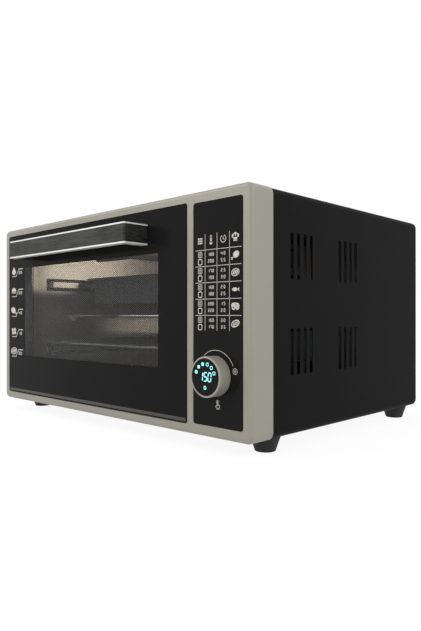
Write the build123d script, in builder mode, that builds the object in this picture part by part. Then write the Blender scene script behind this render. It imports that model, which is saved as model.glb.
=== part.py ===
from build123d import *
import os
from math import sqrt

os.makedirs("parts", exist_ok=True)

# Toaster oven with a drop-down glass door, a ring dial around a round display,
# a baking tray, a wire rack and a motor-driven spit. Millimetres, Z up, front
# towards -Y. The origin is at table level under the middle of the outline.

# Cabinet
FRAME_WIDTH = 588.0
FRAME_HEIGHT = 302.5
FRAME_DEPTH = 38.5
FRAME_CORNER = 10.0
FRAME_EDGE = 5.0
FRAME_WALL = 2.0
CABINET_DEPTH = 425.0
WRAP_INSET = 0.6
REAR_EDGE = 6.0
LIP_WIDTH = 20.0
SHEET = 1.0

# Feet
FOOT_HEIGHT = 18.75
FOOT_TOP_RADIUS = 19.5
FOOT_BOTTOM_RADIUS = 12.9
FOOT_SIDE_INSET = 28.5
FOOT_FRONT_INSET = 59.0
FOOT_REAR_INSET = 26.0
FOOT_ROOF = 6.0
FOOT_EDGE = 1.2

# Openings in the front frame
STILE_WIDTH = 13.4
DIVIDER_WIDTH = 10.5
PANEL_WIDTH = 82.65
DOOR_RAIL = 11.85
PANEL_RAIL = 14.15
OPENING_CORNER = 4.0
JAMB_WALL = 1.6
JAMB_DEPTH = 14.0

# Clearances
DOOR_GAP = 1.0
PANEL_GAP = 0.3
RUNNING_FIT = 0.05
SCREW_FIT = 0.1
LOOSE_FIT = 0.3
GLUE_LINE = 0.1
SEAT_GAP = 1.0

# Side louvres
LOUVRE_WIDTH = 6.7
LOUVRE_LENGTH = 58.0
LOUVRE_PITCH = 13.75
LOUVRE_COUNT = 4
LOUVRE_FRONT_SETBACK = 97.5
LOUVRE_REAR_SETBACK = 207.2
LOUVRE_LOW_RISE = 104.15
LOUVRE_DROP = 80.25

# Rear cover
VENT_LENGTH = 60.0
VENT_WIDTH = 5.0
VENT_PITCH = 12.0
VENT_ROWS = 7
VENT_INSET = 194.0
GLAND_PROUD = 6.0
GLAND_RADIUS = 13.0
GLAND_BODY_RADIUS = 9.0
GLAND_LENGTH = 18.0
GLAND_EDGE = 1.2
CORD_RADIUS = 4.0
GLAND_INSET = 49.0
GLAND_RISE = 47.25

# Screws
SCREW_RADIUS = 1.5
SCREW_HEAD_RADIUS = 3.2
SCREW_HEAD_HEIGHT = 2.0
SCREW_GRIP = 4.0
BOSS_RADIUS = 3.0
BOSS_GRIP = 10.0
BOSS_SETBACK = 8.0
BOSS_LOW_RISE = 127.25
BOSS_DROP = 35.25

# Oven cavity
CAVITY_SIDE_MARGIN = 40.175
CAVITY_DEPTH = 308.0
CAVITY_RISE = 31.25
CAVITY_DROP = 37.25
CAVITY_SHEET = 0.8
RUNNER_HEIGHT = 22.0
RUNNER_REACH = 9.0
RUNNER_BEND = 5.0
RUNNER_CORNER = 6.0
RUNNER_SETBACK = 33.0
UPPER_RUNNER_DROP = 49.0
LOWER_RUNNER_RISE = 68.0
SUPPORT_WIDTH = 30.0
SUPPORT_INSET = 73.85
SUPPORT_SETBACK = 60.0
SUPPORT_REAR_GAP = 28.0

# Heaters
HEATER_RADIUS = 3.5
HEATER_OVERHANG = 8.0
TERMINAL_RADIUS = 1.5
TERMINAL_LENGTH = 6.0
BUSHING_RADIUS = 5.0
BUSHING_FLANGE_RADIUS = 7.0
BUSHING_FLANGE = 3.0
BUSHING_LENGTH = 6.0
UPPER_HEATER_DROP = 9.0
LOWER_HEATER_RISE = 12.0
HEATER_FRONT_SETBACK = 63.0
UPPER_HEATER_PITCH = 80.0
LOWER_HEATER_PITCH = 170.0

# Lamp, probe and cutout
LAMP_SETBACK = 228.0
LAMP_DROP = 26.0
LENS_RADIUS = 12.5
LENS_WALL = 1.6
LENS_REACH = 9.0
LENS_FLANGE_RADIUS = 17.0
LENS_FLANGE = 2.0
LENS_EDGE = 4.0
HOLDER_RADIUS = 15.0
HOLDER_FLANGE_RADIUS = 20.0
HOLDER_LENGTH = 26.0
HOLDER_WALL = 2.5
BULB_RADIUS = 5.0
BULB_LENGTH = 26.0
BULB_EDGE = 4.0
PROBE_RADIUS = 2.0
PROBE_LENGTH = 60.0
PROBE_DROP = 14.0
PROBE_INSET = 40.0
PROBE_FLANGE_RADIUS = 6.0
PROBE_FLANGE = 2.0
CUTOUT_RADIUS = 8.0
CUTOUT_HEIGHT = 10.0
CUTOUT_OFFSET = 60.0
CUTOUT_STRAP_LENGTH = 32.0
CUTOUT_STRAP_WIDTH = 8.0

# Spit
SPIT_RADIUS = 3.0
SPIT_RISE = 117.0
SPIT_FORWARD = 68.0
SPIT_END_GAP = 2.0
CRADLE_REACH = 10.0
CRADLE_SHEET = 4.5
CRADLE_LIP = 1.0
SOCKET_RADIUS = 5.0
SOCKET_REACH = 14.0
SOCKET_DEPTH = 12.0
SOCKET_TAIL = 20.0
MOTOR_WIDTH = 50.0
MOTOR_HEIGHT = 56.0
MOTOR_DEPTH = 28.0
MOTOR_EDGE = 4.0

# Tray and rack
TRAY_DEPTH = 48.0
TRAY_SHEET = 1.0
TRAY_RIM = 1.2
TRAY_TAPER = 6.0
TRAY_CORNER = 30.0
TRAY_BEND = 4.0
SHELF_SIDE_GAP = 2.5
RUNNER_SIDE_GAP = 2.0
RUNNER_REST_GAP = 0.2
RACK_FRONT_SETBACK = 18.0
TRAY_FRONT_SETBACK = 100.0
SHELF_REAR_GAP = 8.0
RACK_FRAME_RADIUS = 2.2
RACK_BAR_RADIUS = 1.5
RACK_BARS = 15
RACK_CORNER = 12.0

# Door
DOOR_RECESS = 0.5
OUTER_GLASS = 4.0
INNER_GLASS = 3.0
GLASS_CORNER = 3.0
STRIP_HEIGHT = 7.0
HINGE_NOSE = 3.6
RAIL_TONGUE = 9.8
CARRIER_INSET = 5.0
CARRIER_SHEET = 1.0
CARRIER_FLANGE = 6.9
CARRIER_PLUG = 15.4
CARRIER_BEND = 2.0
MOUTH_LAP = 10.0
PLUG_STEP = 1.5
WINDOW_SIDE_MARGIN = 56.525
WINDOW_RISE = 78.65
WINDOW_DROP = 70.85
WINDOW_MARGIN = 5.0
PANE_MARGIN = 12.0
CLIP_WIDTH = 14.0
CLIP_SHEET = 1.2
CLIP_FINGER = 4.0
CLIP_LEG = 6.0
CLIP_SPREAD = 90.0

# Handle
HANDLE_REACH = 39.6
HANDLE_LENGTH = 311.0
HANDLE_HEIGHT = 28.0
HANDLE_DROP = 30.65
HANDLE_BAR = 11.0
HANDLE_END = 12.0
HANDLE_EDGE = 3.0
TRIM_TOP = 2.0
TRIM_BOTTOM = 2.2
TRIM_PROUD = 0.5
HANDLE_SCREW_RADIUS = 2.0
HANDLE_SCREW_HEAD = 4.0
HANDLE_SCREW_GRIP = 14.0

# Hinge, stays and springs
PIN_RADIUS = 1.5
PIN_ENGAGEMENT = 14.0
PIN_TAIL = 1.5
BRACKET_SHEET = 1.2
EAR_SHEET = 1.6
EAR_DROP = 6.0
EAR_RISE = 12.0
EAR_POCKET = 0.8
STAY_RADIUS = 60.0
STAY_WIDTH = 8.0
STAY_SHEET = 2.0
STAY_INSET = 17.025
STAY_DROP = 6.5
STAY_FOOT_WIDTH = 14.0
STAY_FOOT_HEIGHT = 18.0
STAY_CLEARANCE = 1.0
GUIDE_WIDTH = 17.0
GUIDE_HEIGHT = 30.0
SPRING_RADIUS = 4.6
SPRING_WIRE_RADIUS = 0.6
SPRING_LENGTH = 60.0
SPRING_TAIL = 22.0
SPRING_DROP = 1.5
HOOK_OVERHANG = 1.0
ANCHOR_WIDTH = 14.0

# Control panel and dial
PANEL_RECESS = 0.4
PANEL_GLASS = 3.0
CARRIER_WALL = 2.0
CARRIER_SIDE_GAP = 0.5
POST_RADIUS = 3.5
BOARD_THICKNESS = 1.6
BOARD_SETBACK = 12.0
BOARD_EDGE_GAP = 0.5
CABLE_HOLE_WIDTH = 36.0
CABLE_HOLE_HEIGHT = 40.0
DIAL_RISE = 75.85
DIAL_OFFSET = 2.7
RING_RADIUS = 24.5
RING_RIM = 2.2
RING_PROUD = 18.2
RING_BACK_GAP = 0.6
RING_WEB = 5.0
RING_EDGE = 0.8
HUB_RADIUS = 14.0
HUB_SHOULDER_RADIUS = 16.0
HUB_SHOULDER = 2.8
HUB_FLANGE_RADIUS = 22.0
HUB_FLANGE = 2.0
HUB_BORE_RADIUS = 10.0
HUB_NOSE = 2.6
RETAINER_RADIUS = 17.0
RETAINER_SHEET = 1.0
RETAINER_GROOVE = 1.0
RETAINER_GAP = 0.1
BUTTON_GAP = 0.4
BUTTON_DISC = 3.0
BUTTON_TRAVEL = 1.2
BUTTON_TAIL = 6.0
LENS_DISC = 1.5
DISPLAY_RADIUS = 18.8
DISPLAY_BOARD = 1.2
SWITCH_SIZE = 8.0
SWITCH_HEIGHT = 3.0
SWITCH_TIP_RADIUS = 1.7

# Power board in the side compartment
BRACKET_INSET = 68.0
BRACKET_HEIGHT = 132.25
BRACKET_LENGTH = 150.0
BRACKET_SETBACK = 70.0
BRACKET_FOOT = 18.0
STANDOFF_RADIUS = 3.0
STANDOFF_LENGTH = 6.0
STANDOFF_INSET = 10.0
POWER_BOARD_HEIGHT = 100.0
POWER_BOARD_RISE = 24.25
RELAY_LENGTH = 19.0
RELAY_HEIGHT = 15.0
RELAY_DEPTH = 15.0
RELAY_PITCH = 30.0
RELAY_COUNT = 3
CABLE_THICKNESS = 1.0
CABLE_WIDTH = 16.0
CABLE_LAP = 20.0

# Planes of the cabinet
OVERALL_DEPTH = HANDLE_REACH + CABINET_DEPTH + GLAND_PROUD
FRONT_Y = HANDLE_REACH - OVERALL_DEPTH / 2
WRAP_REAR = FRONT_Y + CABINET_DEPTH
HALF_WIDTH = FRAME_WIDTH / 2
BASE_Z = FOOT_HEIGHT
TOP_Z = BASE_Z + FRAME_HEIGHT
MID_Z = (BASE_Z + TOP_Z) / 2
WRAP_BOTTOM = BASE_Z + WRAP_INSET
BASE_PLATE_Z = WRAP_BOTTOM + SHEET
BASE_TOP = BASE_PLATE_Z + SHEET
PLATE_MARGIN = WRAP_INSET + SHEET + max(FRAME_CORNER, REAR_EDGE)
PLATE_FOOT_Z = max(BASE_TOP, BASE_Z + FRAME_WALL)

# Openings in the front frame
DOOR_LEFT = -HALF_WIDTH + STILE_WIDTH
PANEL_RIGHT = HALF_WIDTH - STILE_WIDTH
PANEL_LEFT = PANEL_RIGHT - PANEL_WIDTH
DOOR_RIGHT = PANEL_LEFT - DIVIDER_WIDTH
DOOR_X = (DOOR_LEFT + DOOR_RIGHT) / 2
PANEL_X = (PANEL_LEFT + PANEL_RIGHT) / 2
OPENING_WIDTH = DOOR_RIGHT - DOOR_LEFT
OPENING_BOTTOM = BASE_Z + DOOR_RAIL
OPENING_TOP = TOP_Z - DOOR_RAIL
OPENING_HEIGHT = OPENING_TOP - OPENING_BOTTOM
PANEL_HEIGHT = FRAME_HEIGHT - 2 * PANEL_RAIL
WINDOW_WIDTH = OPENING_WIDTH - 2 * WINDOW_SIDE_MARGIN
WINDOW_HEIGHT = FRAME_HEIGHT - WINDOW_RISE - WINDOW_DROP

# Door planes
GLASS_FRONT = FRONT_Y + DOOR_RECESS
GLASS_BACK = GLASS_FRONT + OUTER_GLASS
CARRIER_FRONT = GLASS_BACK + GLUE_LINE
FLANGE_BACK = CARRIER_FRONT + CARRIER_FLANGE
PLUG_BACK = CARRIER_FRONT + CARRIER_PLUG
PLATE_Y = PLUG_BACK + SEAT_GAP
PLATE_BACK = PLATE_Y + SHEET
DOOR_HALF = OPENING_WIDTH / 2 - DOOR_GAP
RAIL_HALF = OPENING_WIDTH / 2 - OPENING_CORNER
STAY_OFFSET = DOOR_HALF - STAY_INSET
GLASS_BOTTOM = OPENING_BOTTOM + STRIP_HEIGHT
GLASS_TOP = OPENING_TOP - DOOR_GAP
PIVOT_Y = GLASS_FRONT + HINGE_NOSE
PIVOT_Z = OPENING_BOTTOM + DOOR_GAP + HINGE_NOSE
CARRIER_BOTTOM = PIVOT_Z + RAIL_TONGUE
CARRIER_TOP = GLASS_TOP - CARRIER_INSET
WINDOW_Z = BASE_Z + WINDOW_RISE + WINDOW_HEIGHT / 2
EAR_FRONT = FRONT_Y + FRAME_WALL - EAR_POCKET + LOOSE_FIT
EAR_INNER = OPENING_WIDTH / 2 + JAMB_WALL + LOOSE_FIT
EAR_OUTER = EAR_INNER + EAR_SHEET
HOOK_Y = PIVOT_Y + sqrt(STAY_RADIUS**2 - SPRING_DROP**2)
HOOK_Z = PIVOT_Z - SPRING_DROP
COIL_START = HOOK_Y + SPRING_TAIL
COIL_END = COIL_START + SPRING_LENGTH
ANCHOR_Y = COIL_END + SPRING_TAIL

# Cavity planes
CAVITY_WIDTH = OPENING_WIDTH - 2 * CAVITY_SIDE_MARGIN
CAVITY_HEIGHT = FRAME_HEIGHT - CAVITY_RISE - CAVITY_DROP
CAVITY_FLOOR = BASE_Z + CAVITY_RISE
CAVITY_CEILING = CAVITY_FLOOR + CAVITY_HEIGHT
CAVITY_LEFT = DOOR_X - CAVITY_WIDTH / 2
CAVITY_RIGHT = DOOR_X + CAVITY_WIDTH / 2
CAVITY_BACK = PLATE_BACK + CAVITY_DEPTH
CAVITY_MID_Y = (PLATE_BACK + CAVITY_BACK) / 2
CAVITY_MID_Z = (CAVITY_FLOOR + CAVITY_CEILING) / 2
RUNNER_TOPS = [CAVITY_CEILING - UPPER_RUNNER_DROP, CAVITY_FLOOR + LOWER_RUNNER_RISE]
RUNNER_LENGTH = CAVITY_DEPTH - 2 * RUNNER_SETBACK
UPPER_HEATER_Z = CAVITY_CEILING - UPPER_HEATER_DROP
LOWER_HEATER_Z = CAVITY_FLOOR + LOWER_HEATER_RISE
HEATER_FRONT_Y = PLATE_BACK + HEATER_FRONT_SETBACK
UPPER_HEATERS = [
    (HEATER_FRONT_Y, UPPER_HEATER_Z),
    (HEATER_FRONT_Y + UPPER_HEATER_PITCH, UPPER_HEATER_Z),
]
LOWER_HEATERS = [
    (HEATER_FRONT_Y, LOWER_HEATER_Z),
    (HEATER_FRONT_Y + LOWER_HEATER_PITCH, LOWER_HEATER_Z),
]
LAMP_Y = PLATE_BACK + LAMP_SETBACK
LAMP_Z = CAVITY_CEILING - LAMP_DROP
SPIT_Y = CAVITY_MID_Y - SPIT_FORWARD
SPIT_Z = CAVITY_FLOOR + SPIT_RISE
SHELF_REAR = CAVITY_BACK - SHELF_REAR_GAP
SHELF_WIDTH = CAVITY_WIDTH - 2 * SHELF_SIDE_GAP

# Places of the repeated pieces
FOOT_X = HALF_WIDTH - FOOT_SIDE_INSET
FOOT_FRONT_Y = FRONT_Y + FOOT_FRONT_INSET
FOOT_REAR_Y = WRAP_REAR - FOOT_REAR_INSET
FOOT_PLACES = {
    "foot_front_left": (-FOOT_X, FOOT_FRONT_Y),
    "foot_front_right": (FOOT_X, FOOT_FRONT_Y),
    "foot_rear_left": (-FOOT_X, FOOT_REAR_Y),
    "foot_rear_right": (FOOT_X, FOOT_REAR_Y),
}
BOSS_X = HALF_WIDTH - BOSS_SETBACK
BOSS_HEIGHTS = (BASE_Z + BOSS_LOW_RISE, TOP_Z - BOSS_DROP)
BOSS_PLACES = [(x, z) for x in (-BOSS_X, BOSS_X) for z in BOSS_HEIGHTS]
LIP_SCREW_X = HALF_WIDTH - (PLATE_MARGIN + LIP_WIDTH) / 2
LIP_SCREW_TOP = TOP_Z - (PLATE_MARGIN + LIP_WIDTH) / 2
LIP_SCREW_BOTTOM = BASE_Z + (PLATE_MARGIN + LIP_WIDTH) / 2
LIP_SCREW_HEIGHTS = (LIP_SCREW_BOTTOM, LIP_SCREW_TOP)
REAR_SCREW_PLACES = [(x, z) for x in (-LIP_SCREW_X, 0, LIP_SCREW_X) for z in LIP_SCREW_HEIGHTS]
GLAND_X = HALF_WIDTH - GLAND_INSET
GLAND_Z = BASE_Z + GLAND_RISE
VENT_X = HALF_WIDTH - VENT_INSET
SIDES = {"left": -1, "right": 1}

# Planes of the dial and the boards
PANEL_FRONT = FRONT_Y + PANEL_RECESS
PANEL_BACK = PANEL_FRONT + PANEL_GLASS
DIAL_X = PANEL_X - DIAL_OFFSET
DIAL_Z = BASE_Z + DIAL_RISE
RING_FRONT = FRONT_Y - RING_PROUD
RING_BACK = PANEL_FRONT - RING_BACK_GAP
HUB_STEP = PANEL_FRONT - HUB_SHOULDER
WEB_BACK = HUB_STEP - RETAINER_GAP
WEB_FRONT = WEB_BACK - RING_WEB
RETAINER_BACK = WEB_FRONT - RETAINER_GAP
RETAINER_FRONT = RETAINER_BACK - RETAINER_SHEET
HUB_FRONT = RETAINER_FRONT - HUB_NOSE
BUTTON_RADIUS = RING_RADIUS - RING_RIM - BUTTON_GAP
DISC_FRONT = RING_FRONT + LENS_DISC
DISC_BACK = DISC_FRONT + BUTTON_DISC
TAIL_END = PANEL_FRONT + BUTTON_TAIL
BOARD_FRONT = FRONT_Y + BOARD_SETBACK
BOARD_BACK = BOARD_FRONT + BOARD_THICKNESS
BRACKET_X = HALF_WIDTH - BRACKET_INSET
POWER_BOARD_X = BRACKET_X + SHEET + STANDOFF_LENGTH
POWER_BOARD_FACE = POWER_BOARD_X + BOARD_THICKNESS
POWER_BOARD_LOW = BASE_TOP + POWER_BOARD_RISE
POWER_BOARD_TOP = POWER_BOARD_LOW + POWER_BOARD_HEIGHT
CABLE_X = POWER_BOARD_FACE + CABLE_THICKNESS / 2
CABLE_Z = POWER_BOARD_TOP - CABLE_WIDTH / 2


def upright(y):
    """Plane facing the front at a depth y. It is drawn in X and Z, and amounts below 0 run to the rear."""
    return Plane.XZ.offset(-y)


def sideways(x):
    """Plane facing right at x, drawn in Y and Z."""
    return Plane.YZ.offset(x)


def level(z):
    """Plane facing up at height z, drawn in X and Y."""
    return Plane.XY.offset(z)


def block(x_pair, y_pair, z_pair, mode=Mode.ADD):
    """Box between two values on each axis, given in either order."""
    centre = [(pair[0] + pair[1]) / 2 for pair in (x_pair, y_pair, z_pair)]
    size = [abs(pair[1] - pair[0]) for pair in (x_pair, y_pair, z_pair)]
    with Locations(tuple(centre)):
        Box(*size, mode=mode)


def rod_x(x_pair, y, z, radius, mode=Mode.ADD):
    """Round bar along X."""
    with Locations(Location(((x_pair[0] + x_pair[1]) / 2, y, z), (0, 90, 0))):
        Cylinder(radius, abs(x_pair[1] - x_pair[0]), mode=mode)


def rod_y(y_pair, x, z, radius, mode=Mode.ADD):
    """Round bar along Y."""
    with Locations(Location((x, (y_pair[0] + y_pair[1]) / 2, z), (90, 0, 0))):
        Cylinder(radius, abs(y_pair[1] - y_pair[0]), mode=mode)


def rod_z(z_pair, x, y, radius, mode=Mode.ADD):
    """Round bar along Z."""
    with Locations((x, y, (z_pair[0] + z_pair[1]) / 2)):
        Cylinder(radius, abs(z_pair[1] - z_pair[0]), mode=mode)


def from_door(side, offset):
    """X at an offset from the middle of the door, to the left (-1) or right (1)."""
    return DOOR_X + side * offset


def stay_rise(radius, y):
    """Height above the hinge axis at which an arc about that axis passes the depth y."""
    return sqrt(radius**2 - (y - PIVOT_Y) ** 2)


# Front frame: hollow moulding with a door opening and a panel opening
with BuildPart() as bezel_core:
    with BuildSketch(upright(FRONT_Y + FRAME_WALL)):
        with Locations((0, MID_Z)):
            RectangleRounded(
                FRAME_WIDTH - 2 * FRAME_WALL,
                FRAME_HEIGHT - 2 * FRAME_WALL,
                FRAME_CORNER - FRAME_WALL,
            )
    extrude(amount=-FRAME_DEPTH)
    fillet(bezel_core.faces().sort_by(Axis.Y)[0].edges(), FRAME_EDGE - FRAME_WALL)

with BuildPart() as bezel:
    with BuildSketch(upright(FRONT_Y)):
        with Locations((0, MID_Z)):
            RectangleRounded(FRAME_WIDTH, FRAME_HEIGHT, FRAME_CORNER)
    extrude(amount=-FRAME_DEPTH)
    fillet(bezel.faces().sort_by(Axis.Y)[0].edges(), FRAME_EDGE)
    add(bezel_core.part, mode=Mode.SUBTRACT)
    with BuildSketch(upright(FRONT_Y + FRAME_WALL / 2)):
        with Locations((DOOR_X, MID_Z)):
            RectangleRounded(
                OPENING_WIDTH + 2 * JAMB_WALL, OPENING_HEIGHT + 2 * JAMB_WALL, OPENING_CORNER + JAMB_WALL
            )
        with Locations((PANEL_X, MID_Z)):
            RectangleRounded(
                PANEL_WIDTH + 2 * JAMB_WALL, PANEL_HEIGHT + 2 * JAMB_WALL, OPENING_CORNER + JAMB_WALL
            )
    extrude(amount=-(JAMB_DEPTH - FRAME_WALL / 2))
    with BuildSketch(upright(FRONT_Y)):
        with Locations((DOOR_X, MID_Z)):
            RectangleRounded(OPENING_WIDTH, OPENING_HEIGHT, OPENING_CORNER)
        with Locations((PANEL_X, MID_Z)):
            RectangleRounded(PANEL_WIDTH, PANEL_HEIGHT, OPENING_CORNER)
    extrude(amount=-JAMB_DEPTH, mode=Mode.SUBTRACT)
    for x, z in BOSS_PLACES:
        rod_y((FRONT_Y + FRAME_WALL / 2, PLATE_Y), x, z, BOSS_RADIUS)
        rod_y((PLATE_Y - BOSS_GRIP, PLATE_Y), x, z, SCREW_RADIUS + SCREW_FIT, Mode.SUBTRACT)
    for side in SIDES.values():
        rod_x(
            (from_door(side, RAIL_HALF), from_door(side, EAR_INNER)),
            PIVOT_Y,
            PIVOT_Z,
            PIN_RADIUS + LOOSE_FIT,
            Mode.SUBTRACT,
        )
        block(
            (from_door(side, EAR_INNER - LOOSE_FIT), from_door(side, EAR_OUTER + LOOSE_FIT)),
            (EAR_FRONT - LOOSE_FIT, FRONT_Y + FRAME_WALL),
            (PIVOT_Z - EAR_DROP - LOOSE_FIT, PIVOT_Z + EAR_RISE + LOOSE_FIT),
            Mode.SUBTRACT,
        )
bezel.part.label = "bezel"
export_step(bezel.part, "parts/bezel.step")

# Chassis front plate: carries the cavity, the hinges and the panel
with BuildPart() as chassis_front_plate:
    with BuildSketch(upright(PLATE_Y)):
        plate_height = TOP_Z - FRAME_WALL - LOOSE_FIT - PLATE_FOOT_Z
        with Locations((0, PLATE_FOOT_Z + plate_height / 2)):
            RectangleRounded(FRAME_WIDTH - 2 * (FRAME_WALL + LOOSE_FIT), plate_height, FRAME_CORNER)
        with Locations((DOOR_X, CAVITY_MID_Z)):
            Rectangle(CAVITY_WIDTH, CAVITY_HEIGHT, mode=Mode.SUBTRACT)
        with Locations((CABLE_X, CABLE_Z)):
            RectangleRounded(CABLE_HOLE_WIDTH, CABLE_HOLE_HEIGHT, OPENING_CORNER, mode=Mode.SUBTRACT)
        with Locations(*BOSS_PLACES):
            Circle(SCREW_RADIUS + SCREW_FIT, mode=Mode.SUBTRACT)
    extrude(amount=-SHEET)
    block(
        (-HALF_WIDTH + PLATE_MARGIN, HALF_WIDTH - PLATE_MARGIN),
        (PLATE_Y, FRONT_Y + FOOT_FRONT_INSET),
        (PLATE_FOOT_Z, PLATE_FOOT_Z + SHEET),
    )
    for side in SIDES.values():
        slot = STAY_SHEET / 2 + STAY_CLEARANCE
        block(
            (from_door(side, STAY_OFFSET - slot), from_door(side, STAY_OFFSET + slot)),
            (PLATE_Y, PLATE_BACK),
            (
                PIVOT_Z + stay_rise(STAY_RADIUS - STAY_WIDTH / 2, PLATE_BACK) - STAY_CLEARANCE,
                PIVOT_Z + stay_rise(STAY_RADIUS + STAY_WIDTH / 2, PLATE_Y) + STAY_CLEARANCE,
            ),
            Mode.SUBTRACT,
        )
    for x, y in FOOT_PLACES.values():
        rod_z((PLATE_FOOT_Z, PLATE_FOOT_Z + SHEET), x, y, SCREW_HEAD_RADIUS, Mode.SUBTRACT)
chassis_front_plate.part.label = "chassis_front_plate"
export_step(chassis_front_plate.part, "parts/chassis_front_plate.step")

with BuildPart() as bezel_screws:
    for x, z in BOSS_PLACES:
        rod_y((PLATE_BACK, PLATE_BACK + SCREW_HEAD_HEIGHT), x, z, SCREW_HEAD_RADIUS)
        rod_y((PLATE_Y - BOSS_GRIP + SCREW_FIT, PLATE_BACK), x, z, SCREW_RADIUS)
bezel_screws.part.label = "bezel_screws"
export_step(bezel_screws.part, "parts/bezel_screws.step")

# Outer wrap: one folded sheet over the top and sides, with louvres and inward lips
with BuildPart() as wrap_core:
    with BuildSketch(upright(FRONT_Y)):
        with Locations((0, MID_Z)):
            RectangleRounded(
                FRAME_WIDTH - 2 * (WRAP_INSET + SHEET),
                FRAME_HEIGHT - 2 * (WRAP_INSET + SHEET),
                FRAME_CORNER - SHEET,
            )
    extrude(amount=-(CABINET_DEPTH - SHEET))
    fillet(wrap_core.faces().sort_by(Axis.Y)[-1].edges(), REAR_EDGE - SHEET)

with BuildPart() as outer_wrap:
    with BuildSketch(upright(FRONT_Y + FRAME_DEPTH)):
        with Locations((0, MID_Z)):
            RectangleRounded(FRAME_WIDTH - 2 * WRAP_INSET, FRAME_HEIGHT - 2 * WRAP_INSET, FRAME_CORNER)
    extrude(amount=-(CABINET_DEPTH - FRAME_DEPTH))
    fillet(outer_wrap.faces().sort_by(Axis.Y)[-1].edges(), REAR_EDGE)
    add(wrap_core.part, mode=Mode.SUBTRACT)
    lip_half = HALF_WIDTH - WRAP_INSET - LIP_WIDTH
    lip_heights = (WRAP_BOTTOM + LIP_WIDTH, TOP_Z - WRAP_INSET - LIP_WIDTH)
    block((-lip_half, lip_half), (WRAP_REAR - SHEET, WRAP_REAR), lip_heights, Mode.SUBTRACT)
    block(
        (-lip_half, lip_half),
        (FRONT_Y + FRAME_DEPTH, WRAP_REAR - LIP_WIDTH),
        (WRAP_BOTTOM, WRAP_BOTTOM + SHEET),
        Mode.SUBTRACT,
    )
    with BuildSketch(Plane.YZ):
        with Locations(
            (FRONT_Y + LOUVRE_FRONT_SETBACK, BASE_Z + LOUVRE_LOW_RISE),
            (FRONT_Y + LOUVRE_FRONT_SETBACK, TOP_Z - LOUVRE_DROP),
            (FRONT_Y + LOUVRE_REAR_SETBACK, BASE_Z + LOUVRE_LOW_RISE),
            (FRONT_Y + LOUVRE_REAR_SETBACK, TOP_Z - LOUVRE_DROP),
        ):
            with GridLocations(LOUVRE_PITCH, LOUVRE_PITCH, LOUVRE_COUNT, 1):
                SlotOverall(LOUVRE_LENGTH, LOUVRE_WIDTH, rotation=90)
    extrude(amount=HALF_WIDTH, both=True, mode=Mode.SUBTRACT)
    for x, z in REAR_SCREW_PLACES:
        rod_y((WRAP_REAR - SHEET, WRAP_REAR), x, z, SCREW_RADIUS + SCREW_FIT, Mode.SUBTRACT)
    for x, y in FOOT_PLACES.values():
        rod_z((WRAP_BOTTOM, WRAP_BOTTOM + SHEET), x, y, SCREW_RADIUS + SCREW_FIT, Mode.SUBTRACT)
outer_wrap.part.label = "outer_wrap"
export_step(outer_wrap.part, "parts/outer_wrap.step")

# Base plate: lies on the lower lips of the wrap and has a lug for each door spring
with BuildPart() as base_plate:
    block(
        (-HALF_WIDTH + PLATE_MARGIN, HALF_WIDTH - PLATE_MARGIN),
        (FRONT_Y + FRAME_DEPTH + LOOSE_FIT, WRAP_REAR - SHEET - REAR_EDGE),
        (BASE_PLATE_Z, BASE_TOP),
    )
    for x, y in FOOT_PLACES.values():
        rod_z((BASE_PLATE_Z, BASE_TOP), x, y, SCREW_RADIUS + SCREW_FIT, Mode.SUBTRACT)
    for side in SIDES.values():
        lug_inner = from_door(side, STAY_OFFSET - STAY_SHEET / 2)
        lug_outer = from_door(side, STAY_OFFSET + STAY_SHEET / 2)
        lug_run = (ANCHOR_Y - ANCHOR_WIDTH / 2, ANCHOR_Y + ANCHOR_WIDTH / 2)
        block((lug_inner, lug_outer), lug_run, (BASE_PLATE_Z, HOOK_Z + SPRING_RADIUS))
        rod_x((lug_inner, lug_outer), ANCHOR_Y, HOOK_Z, SPRING_WIRE_RADIUS + LOOSE_FIT, Mode.SUBTRACT)
base_plate.part.label = "base_plate"
export_step(base_plate.part, "parts/base_plate.step")

# Rear cover: inside the rear lip of the wrap, with vents and the cord hole
with BuildPart() as rear_cover:
    with BuildSketch(upright(WRAP_REAR - 2 * SHEET)):
        with Locations((0, MID_Z)):
            Rectangle(FRAME_WIDTH - 2 * PLATE_MARGIN, FRAME_HEIGHT - 2 * PLATE_MARGIN)
        with Locations((-VENT_X, MID_Z), (VENT_X, MID_Z)):
            with GridLocations(VENT_PITCH, VENT_PITCH, 1, VENT_ROWS):
                SlotOverall(VENT_LENGTH, VENT_WIDTH, mode=Mode.SUBTRACT)
        with Locations((GLAND_X, GLAND_Z)):
            Circle(GLAND_BODY_RADIUS + SCREW_FIT, mode=Mode.SUBTRACT)
        with Locations(*REAR_SCREW_PLACES):
            Circle(SCREW_RADIUS + SCREW_FIT, mode=Mode.SUBTRACT)
    extrude(amount=-SHEET)
rear_cover.part.label = "rear_cover"
export_step(rear_cover.part, "parts/rear_cover.step")

with BuildPart() as rear_cover_screws:
    for x, z in REAR_SCREW_PLACES:
        rod_y((WRAP_REAR, WRAP_REAR + SCREW_HEAD_HEIGHT), x, z, SCREW_HEAD_RADIUS)
        rod_y((WRAP_REAR - 2 * SHEET - SCREW_GRIP, WRAP_REAR), x, z, SCREW_RADIUS)
rear_cover_screws.part.label = "rear_cover_screws"
export_step(rear_cover_screws.part, "parts/rear_cover_screws.step")

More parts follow.
